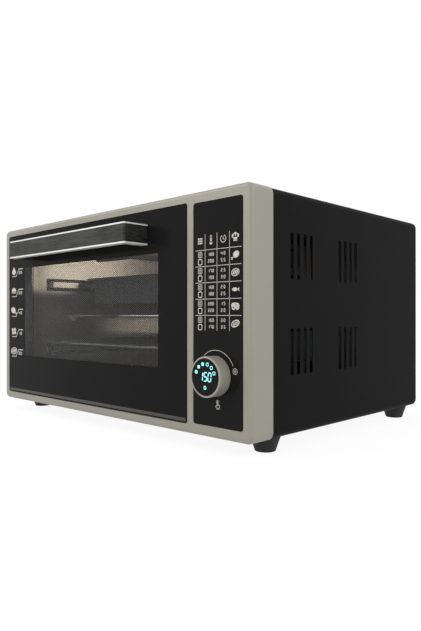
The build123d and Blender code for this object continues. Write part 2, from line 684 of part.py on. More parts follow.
# Cord gland: flanged bush in the rear cover
with BuildPart() as cord_gland:
    gland_back = WRAP_REAR + GLAND_PROUD
    rod_y((WRAP_REAR - SHEET, gland_back), GLAND_X, GLAND_Z, GLAND_RADIUS)
    fillet(cord_gland.faces().sort_by(Axis.Y)[-1].edges(), GLAND_EDGE)
    rod_y((gland_back - GLAND_LENGTH, WRAP_REAR - SHEET), GLAND_X, GLAND_Z, GLAND_BODY_RADIUS)
    rod_y((gland_back - GLAND_LENGTH, gland_back), GLAND_X, GLAND_Z, CORD_RADIUS, Mode.SUBTRACT)
cord_gland.part.label = "cord_gland"
export_step(cord_gland.part, "parts/cord_gland.step")

# Feet: tapered, each held by a screw in a recess
for foot_name, (x, y) in FOOT_PLACES.items():
    with BuildPart() as foot:
        with Locations((x, y, 0)):
            Cone(
                FOOT_BOTTOM_RADIUS,
                FOOT_TOP_RADIUS,
                WRAP_BOTTOM,
                align=(Align.CENTER, Align.CENTER, Align.MIN),
            )
        fillet(foot.edges().sort_by(Axis.Z)[0], FOOT_EDGE)
        rod_z((0, WRAP_BOTTOM - FOOT_ROOF), x, y, SCREW_HEAD_RADIUS + LOOSE_FIT, Mode.SUBTRACT)
        rod_z((0, WRAP_BOTTOM), x, y, SCREW_RADIUS + SCREW_FIT, Mode.SUBTRACT)
    foot.part.label = foot_name
    export_step(foot.part, f"parts/{foot_name}.step")

with BuildPart() as foot_screws:
    seat = WRAP_BOTTOM - FOOT_ROOF
    for x, y in FOOT_PLACES.values():
        rod_z((seat - SCREW_HEAD_HEIGHT, seat), x, y, SCREW_HEAD_RADIUS)
        rod_z((seat, BASE_TOP + SCREW_GRIP), x, y, SCREW_RADIUS)
foot_screws.part.label = "foot_screws"
export_step(foot_screws.part, "parts/foot_screws.step")

# Cavity side walls: sheet with two pressed runners each
for side_name, side in SIDES.items():
    wall_inner = from_door(side, CAVITY_WIDTH / 2)
    wall_outer = from_door(side, CAVITY_WIDTH / 2 + CAVITY_SHEET)
    runner_face = from_door(side, CAVITY_WIDTH / 2 - RUNNER_REACH)
    with BuildPart() as runners:
        with BuildSketch(sideways(wall_outer)):
            for runner_top in RUNNER_TOPS:
                with Locations((CAVITY_MID_Y, runner_top - RUNNER_HEIGHT / 2)):
                    RectangleRounded(RUNNER_LENGTH, RUNNER_HEIGHT, RUNNER_CORNER)
        extrude(amount=runner_face - wall_outer)
        fillet(runners.faces().group_by(Axis.X)[-1 if side < 0 else 0].edges(), RUNNER_BEND)
    with BuildPart() as runner_hollows:
        with BuildSketch(sideways(wall_outer)):
            for runner_top in RUNNER_TOPS:
                with Locations((CAVITY_MID_Y, runner_top - RUNNER_HEIGHT / 2)):
                    RectangleRounded(
                        RUNNER_LENGTH - 2 * CAVITY_SHEET,
                        RUNNER_HEIGHT - 2 * CAVITY_SHEET,
                        RUNNER_CORNER - CAVITY_SHEET,
                    )
        extrude(amount=runner_face - wall_outer + side * CAVITY_SHEET)
        fillet(
            runner_hollows.faces().group_by(Axis.X)[-1 if side < 0 else 0].edges(), RUNNER_BEND - CAVITY_SHEET
        )
    with BuildPart() as cavity_wall:
        block(
            (wall_inner, wall_outer),
            (PLATE_BACK, CAVITY_BACK + CAVITY_SHEET),
            (CAVITY_FLOOR - CAVITY_SHEET, CAVITY_CEILING + CAVITY_SHEET),
        )
        add(runners.part)
        add(runner_hollows.part, mode=Mode.SUBTRACT)
        for y, z in UPPER_HEATERS + LOWER_HEATERS:
            rod_x((wall_inner, wall_outer), y, z, BUSHING_RADIUS + SCREW_FIT, Mode.SUBTRACT)
        if side > 0:
            rod_x((wall_inner, wall_outer), LAMP_Y, LAMP_Z, LENS_RADIUS, Mode.SUBTRACT)
            rod_x((wall_inner, wall_outer), SPIT_Y, SPIT_Z, SOCKET_RADIUS + LOOSE_FIT, Mode.SUBTRACT)
    cavity_wall.part.label = f"cavity_{side_name}_wall"
    export_step(cavity_wall.part, f"parts/cavity_{side_name}_wall.step")

with BuildPart() as cavity_ceiling:
    block(
        (CAVITY_LEFT, CAVITY_RIGHT),
        (PLATE_BACK, CAVITY_BACK + CAVITY_SHEET),
        (CAVITY_CEILING, CAVITY_CEILING + CAVITY_SHEET),
    )
cavity_ceiling.part.label = "cavity_ceiling"
export_step(cavity_ceiling.part, "parts/cavity_ceiling.step")

with BuildPart() as cavity_floor:
    block(
        (CAVITY_LEFT, CAVITY_RIGHT),
        (PLATE_BACK, CAVITY_BACK + CAVITY_SHEET),
        (CAVITY_FLOOR - CAVITY_SHEET, CAVITY_FLOOR),
    )
cavity_floor.part.label = "cavity_floor"
export_step(cavity_floor.part, "parts/cavity_floor.step")

with BuildPart() as cavity_back_wall:
    block(
        (CAVITY_LEFT, CAVITY_RIGHT),
        (CAVITY_BACK, CAVITY_BACK + CAVITY_SHEET),
        (CAVITY_FLOOR, CAVITY_CEILING),
    )
    probe_x = CAVITY_RIGHT - PROBE_INSET
    probe_z = CAVITY_CEILING - PROBE_DROP
    hole_depths = (CAVITY_BACK, CAVITY_BACK + CAVITY_SHEET)
    rod_y(hole_depths, probe_x, probe_z, PROBE_RADIUS + SCREW_FIT, Mode.SUBTRACT)
cavity_back_wall.part.label = "cavity_back_wall"
export_step(cavity_back_wall.part, "parts/cavity_back_wall.step")

# Supports: two open channels between the base plate and the cavity floor
with BuildPart() as cavity_supports:
    for side in SIDES.values():
        middle = from_door(side, CAVITY_WIDTH / 2 - SUPPORT_INSET)
        run = (PLATE_BACK + SUPPORT_SETBACK, CAVITY_BACK - SUPPORT_REAR_GAP)
        top = CAVITY_FLOOR - CAVITY_SHEET
        block((middle - SUPPORT_WIDTH / 2, middle + SUPPORT_WIDTH / 2), run, (BASE_TOP, top))
        block(
            (middle - SUPPORT_WIDTH / 2 + SHEET, middle + SUPPORT_WIDTH / 2 - SHEET),
            run,
            (BASE_TOP, top - SHEET),
            Mode.SUBTRACT,
        )
cavity_supports.part.label = "cavity_supports"
export_step(cavity_supports.part, "parts/cavity_supports.step")

# Heaters: straight tubes across the cavity, in ceramic bushings
HEATER_END = CAVITY_WIDTH / 2 + CAVITY_SHEET + HEATER_OVERHANG
with BuildPart() as upper_heaters:
    for y, z in UPPER_HEATERS:
        rod_x((from_door(-1, HEATER_END), from_door(1, HEATER_END)), y, z, HEATER_RADIUS)
        for side in SIDES.values():
            tip = from_door(side, HEATER_END + TERMINAL_LENGTH)
            rod_x((from_door(side, HEATER_END), tip), y, z, TERMINAL_RADIUS)
upper_heaters.part.label = "upper_heaters"
export_step(upper_heaters.part, "parts/upper_heaters.step")

with BuildPart() as lower_heaters:
    for y, z in LOWER_HEATERS:
        rod_x((from_door(-1, HEATER_END), from_door(1, HEATER_END)), y, z, HEATER_RADIUS)
        for side in SIDES.values():
            tip = from_door(side, HEATER_END + TERMINAL_LENGTH)
            rod_x((from_door(side, HEATER_END), tip), y, z, TERMINAL_RADIUS)
lower_heaters.part.label = "lower_heaters"
export_step(lower_heaters.part, "parts/lower_heaters.step")

with BuildPart() as heater_bushings:
    for side in SIDES.values():
        seat = CAVITY_WIDTH / 2 + CAVITY_SHEET
        flange = (from_door(side, seat), from_door(side, seat + BUSHING_FLANGE))
        sleeve = (from_door(side, seat + BUSHING_FLANGE - BUSHING_LENGTH), from_door(side, seat))
        for y, z in UPPER_HEATERS + LOWER_HEATERS:
            rod_x(flange, y, z, BUSHING_FLANGE_RADIUS)
            rod_x(sleeve, y, z, BUSHING_RADIUS)
            rod_x((sleeve[0], flange[1]), y, z, HEATER_RADIUS + RUNNING_FIT, Mode.SUBTRACT)
heater_bushings.part.label = "heater_bushings"
export_step(heater_bushings.part, "parts/heater_bushings.step")

# Lamp on the right wall: glass lens inside, holder and bulb behind it
with BuildPart() as lamp_lens:
    rod_x((CAVITY_RIGHT - LENS_REACH, CAVITY_RIGHT), LAMP_Y, LAMP_Z, LENS_RADIUS)
    fillet(lamp_lens.faces().sort_by(Axis.X)[0].edges(), LENS_EDGE)
    rod_x((CAVITY_RIGHT - LENS_FLANGE, CAVITY_RIGHT), LAMP_Y, LAMP_Z, LENS_FLANGE_RADIUS)
    hollow = (CAVITY_RIGHT - LENS_REACH + 2 * LENS_WALL, CAVITY_RIGHT)
    rod_x(hollow, LAMP_Y, LAMP_Z, LENS_RADIUS - LENS_WALL, Mode.SUBTRACT)
lamp_lens.part.label = "lamp_lens"
export_step(lamp_lens.part, "parts/lamp_lens.step")

with BuildPart() as lamp_holder:
    holder_seat = CAVITY_RIGHT + CAVITY_SHEET
    holder_end = holder_seat + HOLDER_LENGTH
    rod_x((holder_seat, holder_seat + HOLDER_WALL), LAMP_Y, LAMP_Z, HOLDER_FLANGE_RADIUS)
    rod_x((holder_seat, holder_end), LAMP_Y, LAMP_Z, HOLDER_RADIUS)
    hollow = (holder_seat, holder_end - HOLDER_WALL)
    rod_x(hollow, LAMP_Y, LAMP_Z, HOLDER_RADIUS - HOLDER_WALL, Mode.SUBTRACT)
lamp_holder.part.label = "lamp_holder"
export_step(lamp_holder.part, "parts/lamp_holder.step")

with BuildPart() as lamp_bulb:
    bulb_seat = CAVITY_RIGHT + CAVITY_SHEET + HOLDER_LENGTH - HOLDER_WALL
    rod_x((bulb_seat - BULB_LENGTH, bulb_seat), LAMP_Y, LAMP_Z, BULB_RADIUS)
    fillet(lamp_bulb.faces().sort_by(Axis.X)[0].edges(), BULB_EDGE)
lamp_bulb.part.label = "lamp_bulb"
export_step(lamp_bulb.part, "parts/lamp_bulb.step")

with BuildPart() as temperature_probe:
    wall_back = CAVITY_BACK + CAVITY_SHEET
    rod_y((CAVITY_BACK - PROBE_LENGTH, wall_back), probe_x, probe_z, PROBE_RADIUS)
    rod_y((wall_back, wall_back + PROBE_FLANGE), probe_x, probe_z, PROBE_FLANGE_RADIUS)
temperature_probe.part.label = "temperature_probe"
export_step(temperature_probe.part, "parts/temperature_probe.step")

with BuildPart() as thermal_cutout:
    cutout_seat = CAVITY_CEILING + CAVITY_SHEET
    cutout_x = DOOR_X + CUTOUT_OFFSET
    rod_z((cutout_seat, cutout_seat + CUTOUT_HEIGHT), cutout_x, CAVITY_MID_Y, CUTOUT_RADIUS)
    block(
        (cutout_x - CUTOUT_STRAP_LENGTH / 2, cutout_x + CUTOUT_STRAP_LENGTH / 2),
        (CAVITY_MID_Y - CUTOUT_STRAP_WIDTH / 2, CAVITY_MID_Y + CUTOUT_STRAP_WIDTH / 2),
        (cutout_seat, cutout_seat + SHEET),
    )
thermal_cutout.part.label = "thermal_cutout"
export_step(thermal_cutout.part, "parts/thermal_cutout.step")

# Spit: rod in a vee cradle on the left, turned by a geared motor on the right
with BuildPart() as spit_cradle:
    vee_floor = SPIT_Z - (SPIT_RADIUS + LOOSE_FIT) * sqrt(2)
    vee_top = SPIT_Z + CRADLE_LIP
    vee_half = vee_top - vee_floor
    with BuildSketch(sideways(CAVITY_LEFT)):
        with BuildLine():
            Polyline(
                (SPIT_Y, vee_floor),
                (SPIT_Y + vee_half, vee_top),
                (SPIT_Y + vee_half + CRADLE_SHEET, vee_top),
                (SPIT_Y, vee_floor - CRADLE_SHEET),
                (SPIT_Y - vee_half - CRADLE_SHEET, vee_top),
                (SPIT_Y - vee_half, vee_top),
                close=True,
            )
        make_face()
    extrude(amount=CRADLE_REACH)
spit_cradle.part.label = "spit_cradle"
export_step(spit_cradle.part, "parts/spit_cradle.step")

with BuildPart() as spit_rod:
    rod_end = CAVITY_RIGHT - SOCKET_REACH + SOCKET_DEPTH
    rod_x((CAVITY_LEFT + SPIT_END_GAP, rod_end), SPIT_Y, SPIT_Z, SPIT_RADIUS)
spit_rod.part.label = "spit_rod"
export_step(spit_rod.part, "parts/spit_rod.step")

MOTOR_FACE = CAVITY_RIGHT + CAVITY_SHEET
with BuildPart() as spit_drive_socket:
    rod_x((CAVITY_RIGHT - SOCKET_REACH, MOTOR_FACE + SOCKET_TAIL), SPIT_Y, SPIT_Z, SOCKET_RADIUS)
    bore = (CAVITY_RIGHT - SOCKET_REACH, rod_end)
    rod_x(bore, SPIT_Y, SPIT_Z, SPIT_RADIUS + RUNNING_FIT, Mode.SUBTRACT)
spit_drive_socket.part.label = "spit_drive_socket"
export_step(spit_drive_socket.part, "parts/spit_drive_socket.step")

with BuildPart() as spit_motor:
    block(
        (MOTOR_FACE, MOTOR_FACE + MOTOR_DEPTH),
        (SPIT_Y - MOTOR_WIDTH / 2, SPIT_Y + MOTOR_WIDTH / 2),
        (SPIT_Z - MOTOR_HEIGHT / 2, SPIT_Z + MOTOR_HEIGHT / 2),
    )
    fillet(spit_motor.edges().filter_by(Axis.X), MOTOR_EDGE)
    bore = (MOTOR_FACE, MOTOR_FACE + SOCKET_TAIL + LOOSE_FIT)
    rod_x(bore, SPIT_Y, SPIT_Z, SOCKET_RADIUS + RUNNING_FIT, Mode.SUBTRACT)
spit_motor.part.label = "spit_motor"
export_step(spit_motor.part, "parts/spit_motor.step")

# Baking tray on the upper runners, pushed to the rear
TRAY_FRONT = PLATE_BACK + TRAY_FRONT_SETBACK
TRAY_RIM_DEPTH = SHELF_REAR - TRAY_FRONT
TRAY_MID_Y = (TRAY_FRONT + SHELF_REAR) / 2
TRAY_BODY_WIDTH = CAVITY_WIDTH - 2 * (RUNNER_REACH + RUNNER_SIDE_GAP)
TRAY_BODY_DEPTH = TRAY_RIM_DEPTH - 2 * (RUNNER_REACH + RUNNER_SIDE_GAP)
TRAY_REST = RUNNER_TOPS[0] + RUNNER_REST_GAP
with BuildPart() as tray_hollow:
    with BuildSketch(level(TRAY_REST + TRAY_RIM)):
        with Locations((DOOR_X, TRAY_MID_Y)):
            RectangleRounded(
                TRAY_BODY_WIDTH - 2 * TRAY_SHEET,
                TRAY_BODY_DEPTH - 2 * TRAY_SHEET,
                TRAY_CORNER - TRAY_SHEET,
            )
    extrude(amount=-(TRAY_DEPTH + TRAY_RIM - TRAY_SHEET), taper=TRAY_TAPER)
    fillet(tray_hollow.faces().sort_by(Axis.Z)[0].edges(), TRAY_BEND - TRAY_SHEET)

with BuildPart() as baking_tray:
    with BuildSketch(level(TRAY_REST + TRAY_RIM)):
        with Locations((DOOR_X, TRAY_MID_Y)):
            RectangleRounded(TRAY_BODY_WIDTH, TRAY_BODY_DEPTH, TRAY_CORNER)
    extrude(amount=-(TRAY_DEPTH + TRAY_RIM), taper=TRAY_TAPER)
    fillet(baking_tray.faces().sort_by(Axis.Z)[0].edges(), TRAY_BEND)
    with BuildSketch(level(TRAY_REST)):
        with Locations((DOOR_X, TRAY_MID_Y)):
            RectangleRounded(SHELF_WIDTH, TRAY_RIM_DEPTH, TRAY_CORNER + RUNNER_REACH)
    extrude(amount=TRAY_RIM)
    add(tray_hollow.part, mode=Mode.SUBTRACT)
baking_tray.part.label = "baking_tray"
export_step(baking_tray.part, "parts/baking_tray.step")

# Wire rack on the lower runners: a bent frame wire under straight bars
RACK_HALF = CAVITY_WIDTH / 2 - SHELF_SIDE_GAP - RACK_FRAME_RADIUS
RACK_Z = RUNNER_TOPS[1] + RUNNER_REST_GAP + RACK_FRAME_RADIUS
RACK_FRONT = PLATE_BACK + RACK_FRONT_SETBACK + RACK_FRAME_RADIUS
RACK_REAR = SHELF_REAR - RACK_FRAME_RADIUS
RACK_BAR_Z = RACK_Z + RACK_FRAME_RADIUS
RACK_PITCH = 2 * RACK_HALF / (RACK_BARS + 1)
with BuildPart() as wire_rack:
    with BuildLine(level(RACK_Z)) as rack_path:
        FilletPolyline(
            (DOOR_X + RACK_HALF, RACK_FRONT),
            (DOOR_X + RACK_HALF, RACK_REAR),
            (DOOR_X - RACK_HALF, RACK_REAR),
            (DOOR_X - RACK_HALF, RACK_FRONT),
            radius=RACK_CORNER,
            close=True,
        )
    frame_wire = rack_path.wires()[0]
    with BuildSketch(Plane(origin=frame_wire @ 0, z_dir=frame_wire % 0)):
        Circle(RACK_FRAME_RADIUS)
    sweep(path=frame_wire)
    for number in range(RACK_BARS):
        bar_x = DOOR_X + (number - (RACK_BARS - 1) / 2) * RACK_PITCH
        rod_y((RACK_FRONT, RACK_REAR), bar_x, RACK_BAR_Z, RACK_BAR_RADIUS)
wire_rack.part.label = "wire_rack"
export_step(wire_rack.part, "parts/wire_rack.step")

# Door: outer glass, stepped steel carrier, inner glass in clips, lower rail
HANDLE_Z = TOP_Z - HANDLE_DROP - HANDLE_HEIGHT / 2
HANDLE_SCREW_X = HANDLE_LENGTH / 2 - HANDLE_END / 2
HANDLE_SCREWS = [(from_door(side, HANDLE_SCREW_X), HANDLE_Z) for side in SIDES.values()]
with BuildPart() as door_outer_glass:
    with BuildSketch(upright(GLASS_FRONT)):
        with Locations((DOOR_X, (GLASS_BOTTOM + GLASS_TOP) / 2)):
            RectangleRounded(2 * DOOR_HALF, GLASS_TOP - GLASS_BOTTOM, GLASS_CORNER)
        with Locations(*HANDLE_SCREWS):
            Circle(HANDLE_SCREW_RADIUS + LOOSE_FIT, mode=Mode.SUBTRACT)
    extrude(amount=-OUTER_GLASS)
door_outer_glass.part.label = "door_outer_glass"
export_step(door_outer_glass.part, "parts/door_outer_glass.step")

with BuildPart() as door_carrier:
    flange_half = DOOR_HALF - CARRIER_INSET
    plug_half = CAVITY_WIDTH / 2 + MOUTH_LAP
    plug_heights = (CARRIER_BOTTOM + PLUG_STEP, CAVITY_CEILING + MOUTH_LAP)
    block((DOOR_X - plug_half, DOOR_X + plug_half), (CARRIER_FRONT, PLUG_BACK), plug_heights)
    fillet(door_carrier.faces().sort_by(Axis.Y)[-1].edges(), CARRIER_BEND)
    block(
        (DOOR_X - flange_half, DOOR_X + flange_half),
        (CARRIER_FRONT, FLANGE_BACK),
        (CARRIER_BOTTOM, CARRIER_TOP),
    )
    block(
        (DOOR_X - flange_half + CARRIER_SHEET, DOOR_X + flange_half - CARRIER_SHEET),
        (CARRIER_FRONT, FLANGE_BACK - CARRIER_SHEET),
        (CARRIER_BOTTOM + CARRIER_SHEET, CARRIER_TOP - CARRIER_SHEET),
        Mode.SUBTRACT,
    )
    block(
        (DOOR_X - plug_half + CARRIER_SHEET, DOOR_X + plug_half - CARRIER_SHEET),
        (CARRIER_FRONT, PLUG_BACK - CARRIER_SHEET),
        (plug_heights[0] + CARRIER_SHEET, plug_heights[1] - CARRIER_SHEET),
        Mode.SUBTRACT,
    )
    with BuildSketch(upright(PLUG_BACK - CARRIER_SHEET)):
        with Locations((DOOR_X, WINDOW_Z)):
            RectangleRounded(
                WINDOW_WIDTH + 2 * WINDOW_MARGIN, WINDOW_HEIGHT + 2 * WINDOW_MARGIN, OPENING_CORNER
            )
    extrude(amount=-CARRIER_SHEET, mode=Mode.SUBTRACT)
door_carrier.part.label = "door_carrier"
export_step(door_carrier.part, "parts/door_carrier.step")

PANE_BACK = PLUG_BACK - CARRIER_SHEET - GLUE_LINE
PANE_FRONT = PANE_BACK - INNER_GLASS
PANE_HALF = WINDOW_WIDTH / 2 + PANE_MARGIN
with BuildPart() as door_inner_glass:
    with BuildSketch(upright(PANE_FRONT)):
        with Locations((DOOR_X, WINDOW_Z)):
            RectangleRounded(2 * PANE_HALF, WINDOW_HEIGHT + 2 * PANE_MARGIN, GLASS_CORNER)
    extrude(amount=-INNER_GLASS)
door_inner_glass.part.label = "door_inner_glass"
export_step(door_inner_glass.part, "parts/door_inner_glass.step")

with BuildPart() as inner_glass_clips:
    for side in SIDES.values():
        for rise in (-CLIP_SPREAD / 2, CLIP_SPREAD / 2):
            heights = (WINDOW_Z + rise - CLIP_WIDTH / 2, WINDOW_Z + rise + CLIP_WIDTH / 2)
            leg_inner = PANE_HALF + LOOSE_FIT
            leg = (from_door(side, leg_inner), from_door(side, leg_inner + CLIP_SHEET))
            block(leg, (PANE_FRONT - CLIP_SHEET, PLUG_BACK - CARRIER_SHEET), heights)
            finger = (from_door(side, PANE_HALF - CLIP_FINGER), leg[1])
            block(finger, (PANE_FRONT - CLIP_SHEET, PANE_FRONT), heights)
            foot_run = (leg[0], from_door(side, leg_inner + CLIP_LEG))
            foot_back = PLUG_BACK - CARRIER_SHEET
            block(foot_run, (foot_back - CLIP_SHEET, foot_back), heights)
inner_glass_clips.part.label = "inner_glass_clips"
export_step(inner_glass_clips.part, "parts/inner_glass_clips.step")

with BuildPart() as door_lower_rail:
    with BuildSketch(sideways(DOOR_X - RAIL_HALF)):
        with Locations((PIVOT_Y, PIVOT_Z)):
            Circle(HINGE_NOSE)
        with BuildLine():
            Polyline(
                (GLASS_FRONT, PIVOT_Z),
                (GLASS_FRONT, GLASS_BOTTOM),
                (CARRIER_FRONT, GLASS_BOTTOM),
                (CARRIER_FRONT, CARRIER_BOTTOM),
                (FLANGE_BACK, CARRIER_BOTTOM),
                (FLANGE_BACK, PIVOT_Z),
                close=True,
            )
        make_face()
        rebate_depth = CARRIER_FRONT - GLASS_FRONT
        rebate_height = CARRIER_BOTTOM - GLASS_BOTTOM
        with Locations((GLASS_FRONT + rebate_depth / 2, GLASS_BOTTOM + rebate_height / 2)):
            Rectangle(rebate_depth, rebate_height, mode=Mode.SUBTRACT)
    extrude(amount=2 * RAIL_HALF)
    for side in SIDES.values():
        bore = (from_door(side, RAIL_HALF), from_door(side, RAIL_HALF - PIN_ENGAGEMENT - LOOSE_FIT))
        rod_x(bore, PIVOT_Y, PIVOT_Z, PIN_RADIUS + RUNNING_FIT, Mode.SUBTRACT)
door_lower_rail.part.label = "door_lower_rail"
export_step(door_lower_rail.part, "parts/door_lower_rail.step")

# Handle: dark bar returned to the glass at both ends, between two bright strips
HANDLE_FRONT = FRONT_Y - HANDLE_REACH
HANDLE_TOP = TOP_Z - HANDLE_DROP
HANDLE_BOTTOM = HANDLE_TOP - HANDLE_HEIGHT
HANDLE_LAYERS = {
    "handle_trim_bottom": (0, HANDLE_BOTTOM, HANDLE_BOTTOM + TRIM_BOTTOM),
    "handle_bar": (TRIM_PROUD, HANDLE_BOTTOM + TRIM_BOTTOM, HANDLE_TOP - TRIM_TOP),
    "handle_trim_top": (0, HANDLE_TOP - TRIM_TOP, HANDLE_TOP),
}
for layer_name, (setback, bottom, top) in HANDLE_LAYERS.items():
    half_length = HANDLE_LENGTH / 2 - setback
    inner_half = HANDLE_LENGTH / 2 - HANDLE_END
    with BuildPart() as handle_layer:
        block(
            (DOOR_X - half_length, DOOR_X + half_length),
            (HANDLE_FRONT + setback, GLASS_FRONT),
            (bottom, top),
        )
        front_corners = handle_layer.edges().filter_by(Axis.Z).group_by(Axis.Y)[0]
        fillet(front_corners, HANDLE_EDGE - setback)
        block(
            (DOOR_X - inner_half, DOOR_X + inner_half),
            (HANDLE_FRONT + HANDLE_BAR, GLASS_FRONT),
            (bottom, top),
            Mode.SUBTRACT,
        )
        if layer_name == "handle_bar":
            for x, z in HANDLE_SCREWS:
                grip = (GLASS_FRONT - HANDLE_SCREW_GRIP - LOOSE_FIT, GLASS_FRONT)
                rod_y(grip, x, z, HANDLE_SCREW_RADIUS + SCREW_FIT, Mode.SUBTRACT)
    handle_layer.part.label = layer_name
    export_step(handle_layer.part, f"parts/{layer_name}.step")

with BuildPart() as handle_screws:
    for x, z in HANDLE_SCREWS:
        rod_y((GLASS_BACK, GLASS_BACK + SCREW_HEAD_HEIGHT), x, z, HANDLE_SCREW_HEAD)
        rod_y((GLASS_FRONT - HANDLE_SCREW_GRIP, GLASS_BACK), x, z, HANDLE_SCREW_RADIUS)
handle_screws.part.label = "handle_screws"
export_step(handle_screws.part, "parts/handle_screws.step")

# Hinge brackets: base on the front plate, an ear for the pin and a guide for the stay
STAY_INNER_RADIUS = STAY_RADIUS - STAY_WIDTH / 2
STAY_OUTER_RADIUS = STAY_RADIUS + STAY_WIDTH / 2
GUIDE_FRONT = FLANGE_BACK + BRACKET_SHEET + SEAT_GAP
GUIDE_Z = PIVOT_Z + stay_rise(STAY_RADIUS, GUIDE_FRONT)
GUIDE_HEIGHTS = (GUIDE_Z - GUIDE_HEIGHT / 2, GUIDE_Z + GUIDE_HEIGHT / 2)
BRACKET_FRONT = PLATE_Y - BRACKET_SHEET
with BuildPart() as hinge_brackets:
    for side in SIDES.values():
        guide_run = (
            from_door(side, STAY_OFFSET - GUIDE_WIDTH / 2),
            from_door(side, STAY_OFFSET + GUIDE_WIDTH / 2),
        )
        ear_run = (from_door(side, EAR_INNER), from_door(side, EAR_OUTER))
        block((guide_run[0], ear_run[1]), (BRACKET_FRONT, PLATE_Y), (PIVOT_Z - EAR_DROP, GUIDE_HEIGHTS[1]))
        block(ear_run, (EAR_FRONT, PLATE_Y), (PIVOT_Z - EAR_DROP, PIVOT_Z + EAR_RISE))
        block(guide_run, (GUIDE_FRONT, PLATE_Y), GUIDE_HEIGHTS)
        block(
            guide_run,
            (GUIDE_FRONT + BRACKET_SHEET, BRACKET_FRONT),
            (GUIDE_HEIGHTS[0] + BRACKET_SHEET, GUIDE_HEIGHTS[1] - BRACKET_SHEET),
            Mode.SUBTRACT,
        )
        slot = STAY_SHEET / 2 + STAY_CLEARANCE
        block(
            (from_door(side, STAY_OFFSET - slot), from_door(side, STAY_OFFSET + slot)),
            (GUIDE_FRONT, PLATE_Y),
            (
                PIVOT_Z + stay_rise(STAY_INNER_RADIUS, PLATE_Y) - STAY_CLEARANCE,
                PIVOT_Z + stay_rise(STAY_OUTER_RADIUS, GUIDE_FRONT) + STAY_CLEARANCE,
            ),
            Mode.SUBTRACT,
        )
        rod_x(ear_run, PIVOT_Y, PIVOT_Z, PIN_RADIUS + RUNNING_FIT, Mode.SUBTRACT)
hinge_brackets.part.label = "hinge_brackets"
export_step(hinge_brackets.part, "parts/hinge_brackets.step")

with BuildPart() as hinge_pins:
    for side in SIDES.values():
        pin_run = (from_door(side, RAIL_HALF - PIN_ENGAGEMENT), from_door(side, EAR_OUTER + PIN_TAIL))
        rod_x(pin_run, PIVOT_Y, PIVOT_Z, PIN_RADIUS)
hinge_pins.part.label = "hinge_pins"
export_step(hinge_pins.part, "parts/hinge_pins.step")

# Door stays: quadrants about the hinge axis, on the back of the carrier
with BuildPart() as door_stays:
    for side in SIDES.values():
        foot_x = from_door(side, STAY_OFFSET)
        with BuildSketch(sideways(foot_x - STAY_SHEET / 2)):
            with Locations((PIVOT_Y, PIVOT_Z)):
                Circle(STAY_OUTER_RADIUS)
                Circle(STAY_INNER_RADIUS, mode=Mode.SUBTRACT)
            quadrant_depth = PIVOT_Y + STAY_OUTER_RADIUS - FLANGE_BACK
            quadrant_height = STAY_OUTER_RADIUS + STAY_DROP
            with Locations((FLANGE_BACK + quadrant_depth / 2, PIVOT_Z - STAY_DROP + quadrant_height / 2)):
                Rectangle(quadrant_depth, quadrant_height, mode=Mode.INTERSECT)
            with Locations((HOOK_Y, HOOK_Z)):
                Circle(SPRING_WIRE_RADIUS + LOOSE_FIT, mode=Mode.SUBTRACT)
        extrude(amount=STAY_SHEET)
        foot_z = PIVOT_Z + stay_rise(STAY_RADIUS, FLANGE_BACK)
        block(
            (foot_x - STAY_FOOT_WIDTH / 2, foot_x + STAY_FOOT_WIDTH / 2),
            (FLANGE_BACK, FLANGE_BACK + BRACKET_SHEET),
            (foot_z - STAY_FOOT_HEIGHT / 2, foot_z + STAY_FOOT_HEIGHT / 2),
        )
door_stays.part.label = "door_stays"
export_step(door_stays.part, "parts/door_stays.step")

# Counterbalance springs: from the tail of each stay to its lug on the base plate
SPRING_OFFSET = STAY_OFFSET - STAY_SHEET / 2 - LOOSE_FIT - SPRING_WIRE_RADIUS
HOOK_TIP = STAY_OFFSET + STAY_SHEET / 2 + HOOK_OVERHANG
with BuildPart() as door_springs:
    for side in SIDES.values():
        axis_x = from_door(side, SPRING_OFFSET)
        rod_y((COIL_START, COIL_END), axis_x, HOOK_Z, SPRING_RADIUS)
        rod_y((HOOK_Y, ANCHOR_Y), axis_x, HOOK_Z, SPRING_WIRE_RADIUS)
        for hook_y in (HOOK_Y, ANCHOR_Y):
            rod_x((axis_x, from_door(side, HOOK_TIP)), hook_y, HOOK_Z, SPRING_WIRE_RADIUS)
            with Locations((axis_x, hook_y, HOOK_Z)):
                Sphere(SPRING_WIRE_RADIUS)
door_springs.part.label = "door_springs"
export_step(door_springs.part, "parts/door_springs.step")

# Control panel and the carrier behind it
with BuildPart() as control_panel:
    with BuildSketch(upright(PANEL_FRONT)):
        with Locations((PANEL_X, MID_Z)):
            RectangleRounded(
                PANEL_WIDTH - 2 * PANEL_GAP, PANEL_HEIGHT - 2 * PANEL_GAP, OPENING_CORNER - PANEL_GAP
            )
        with Locations((DIAL_X, DIAL_Z)):
            Circle(HUB_SHOULDER_RADIUS + LOOSE_FIT, mode=Mode.SUBTRACT)
    extrude(amount=-PANEL_GLASS)
control_panel.part.label = "control_panel"
export_step(control_panel.part, "parts/control_panel.step")

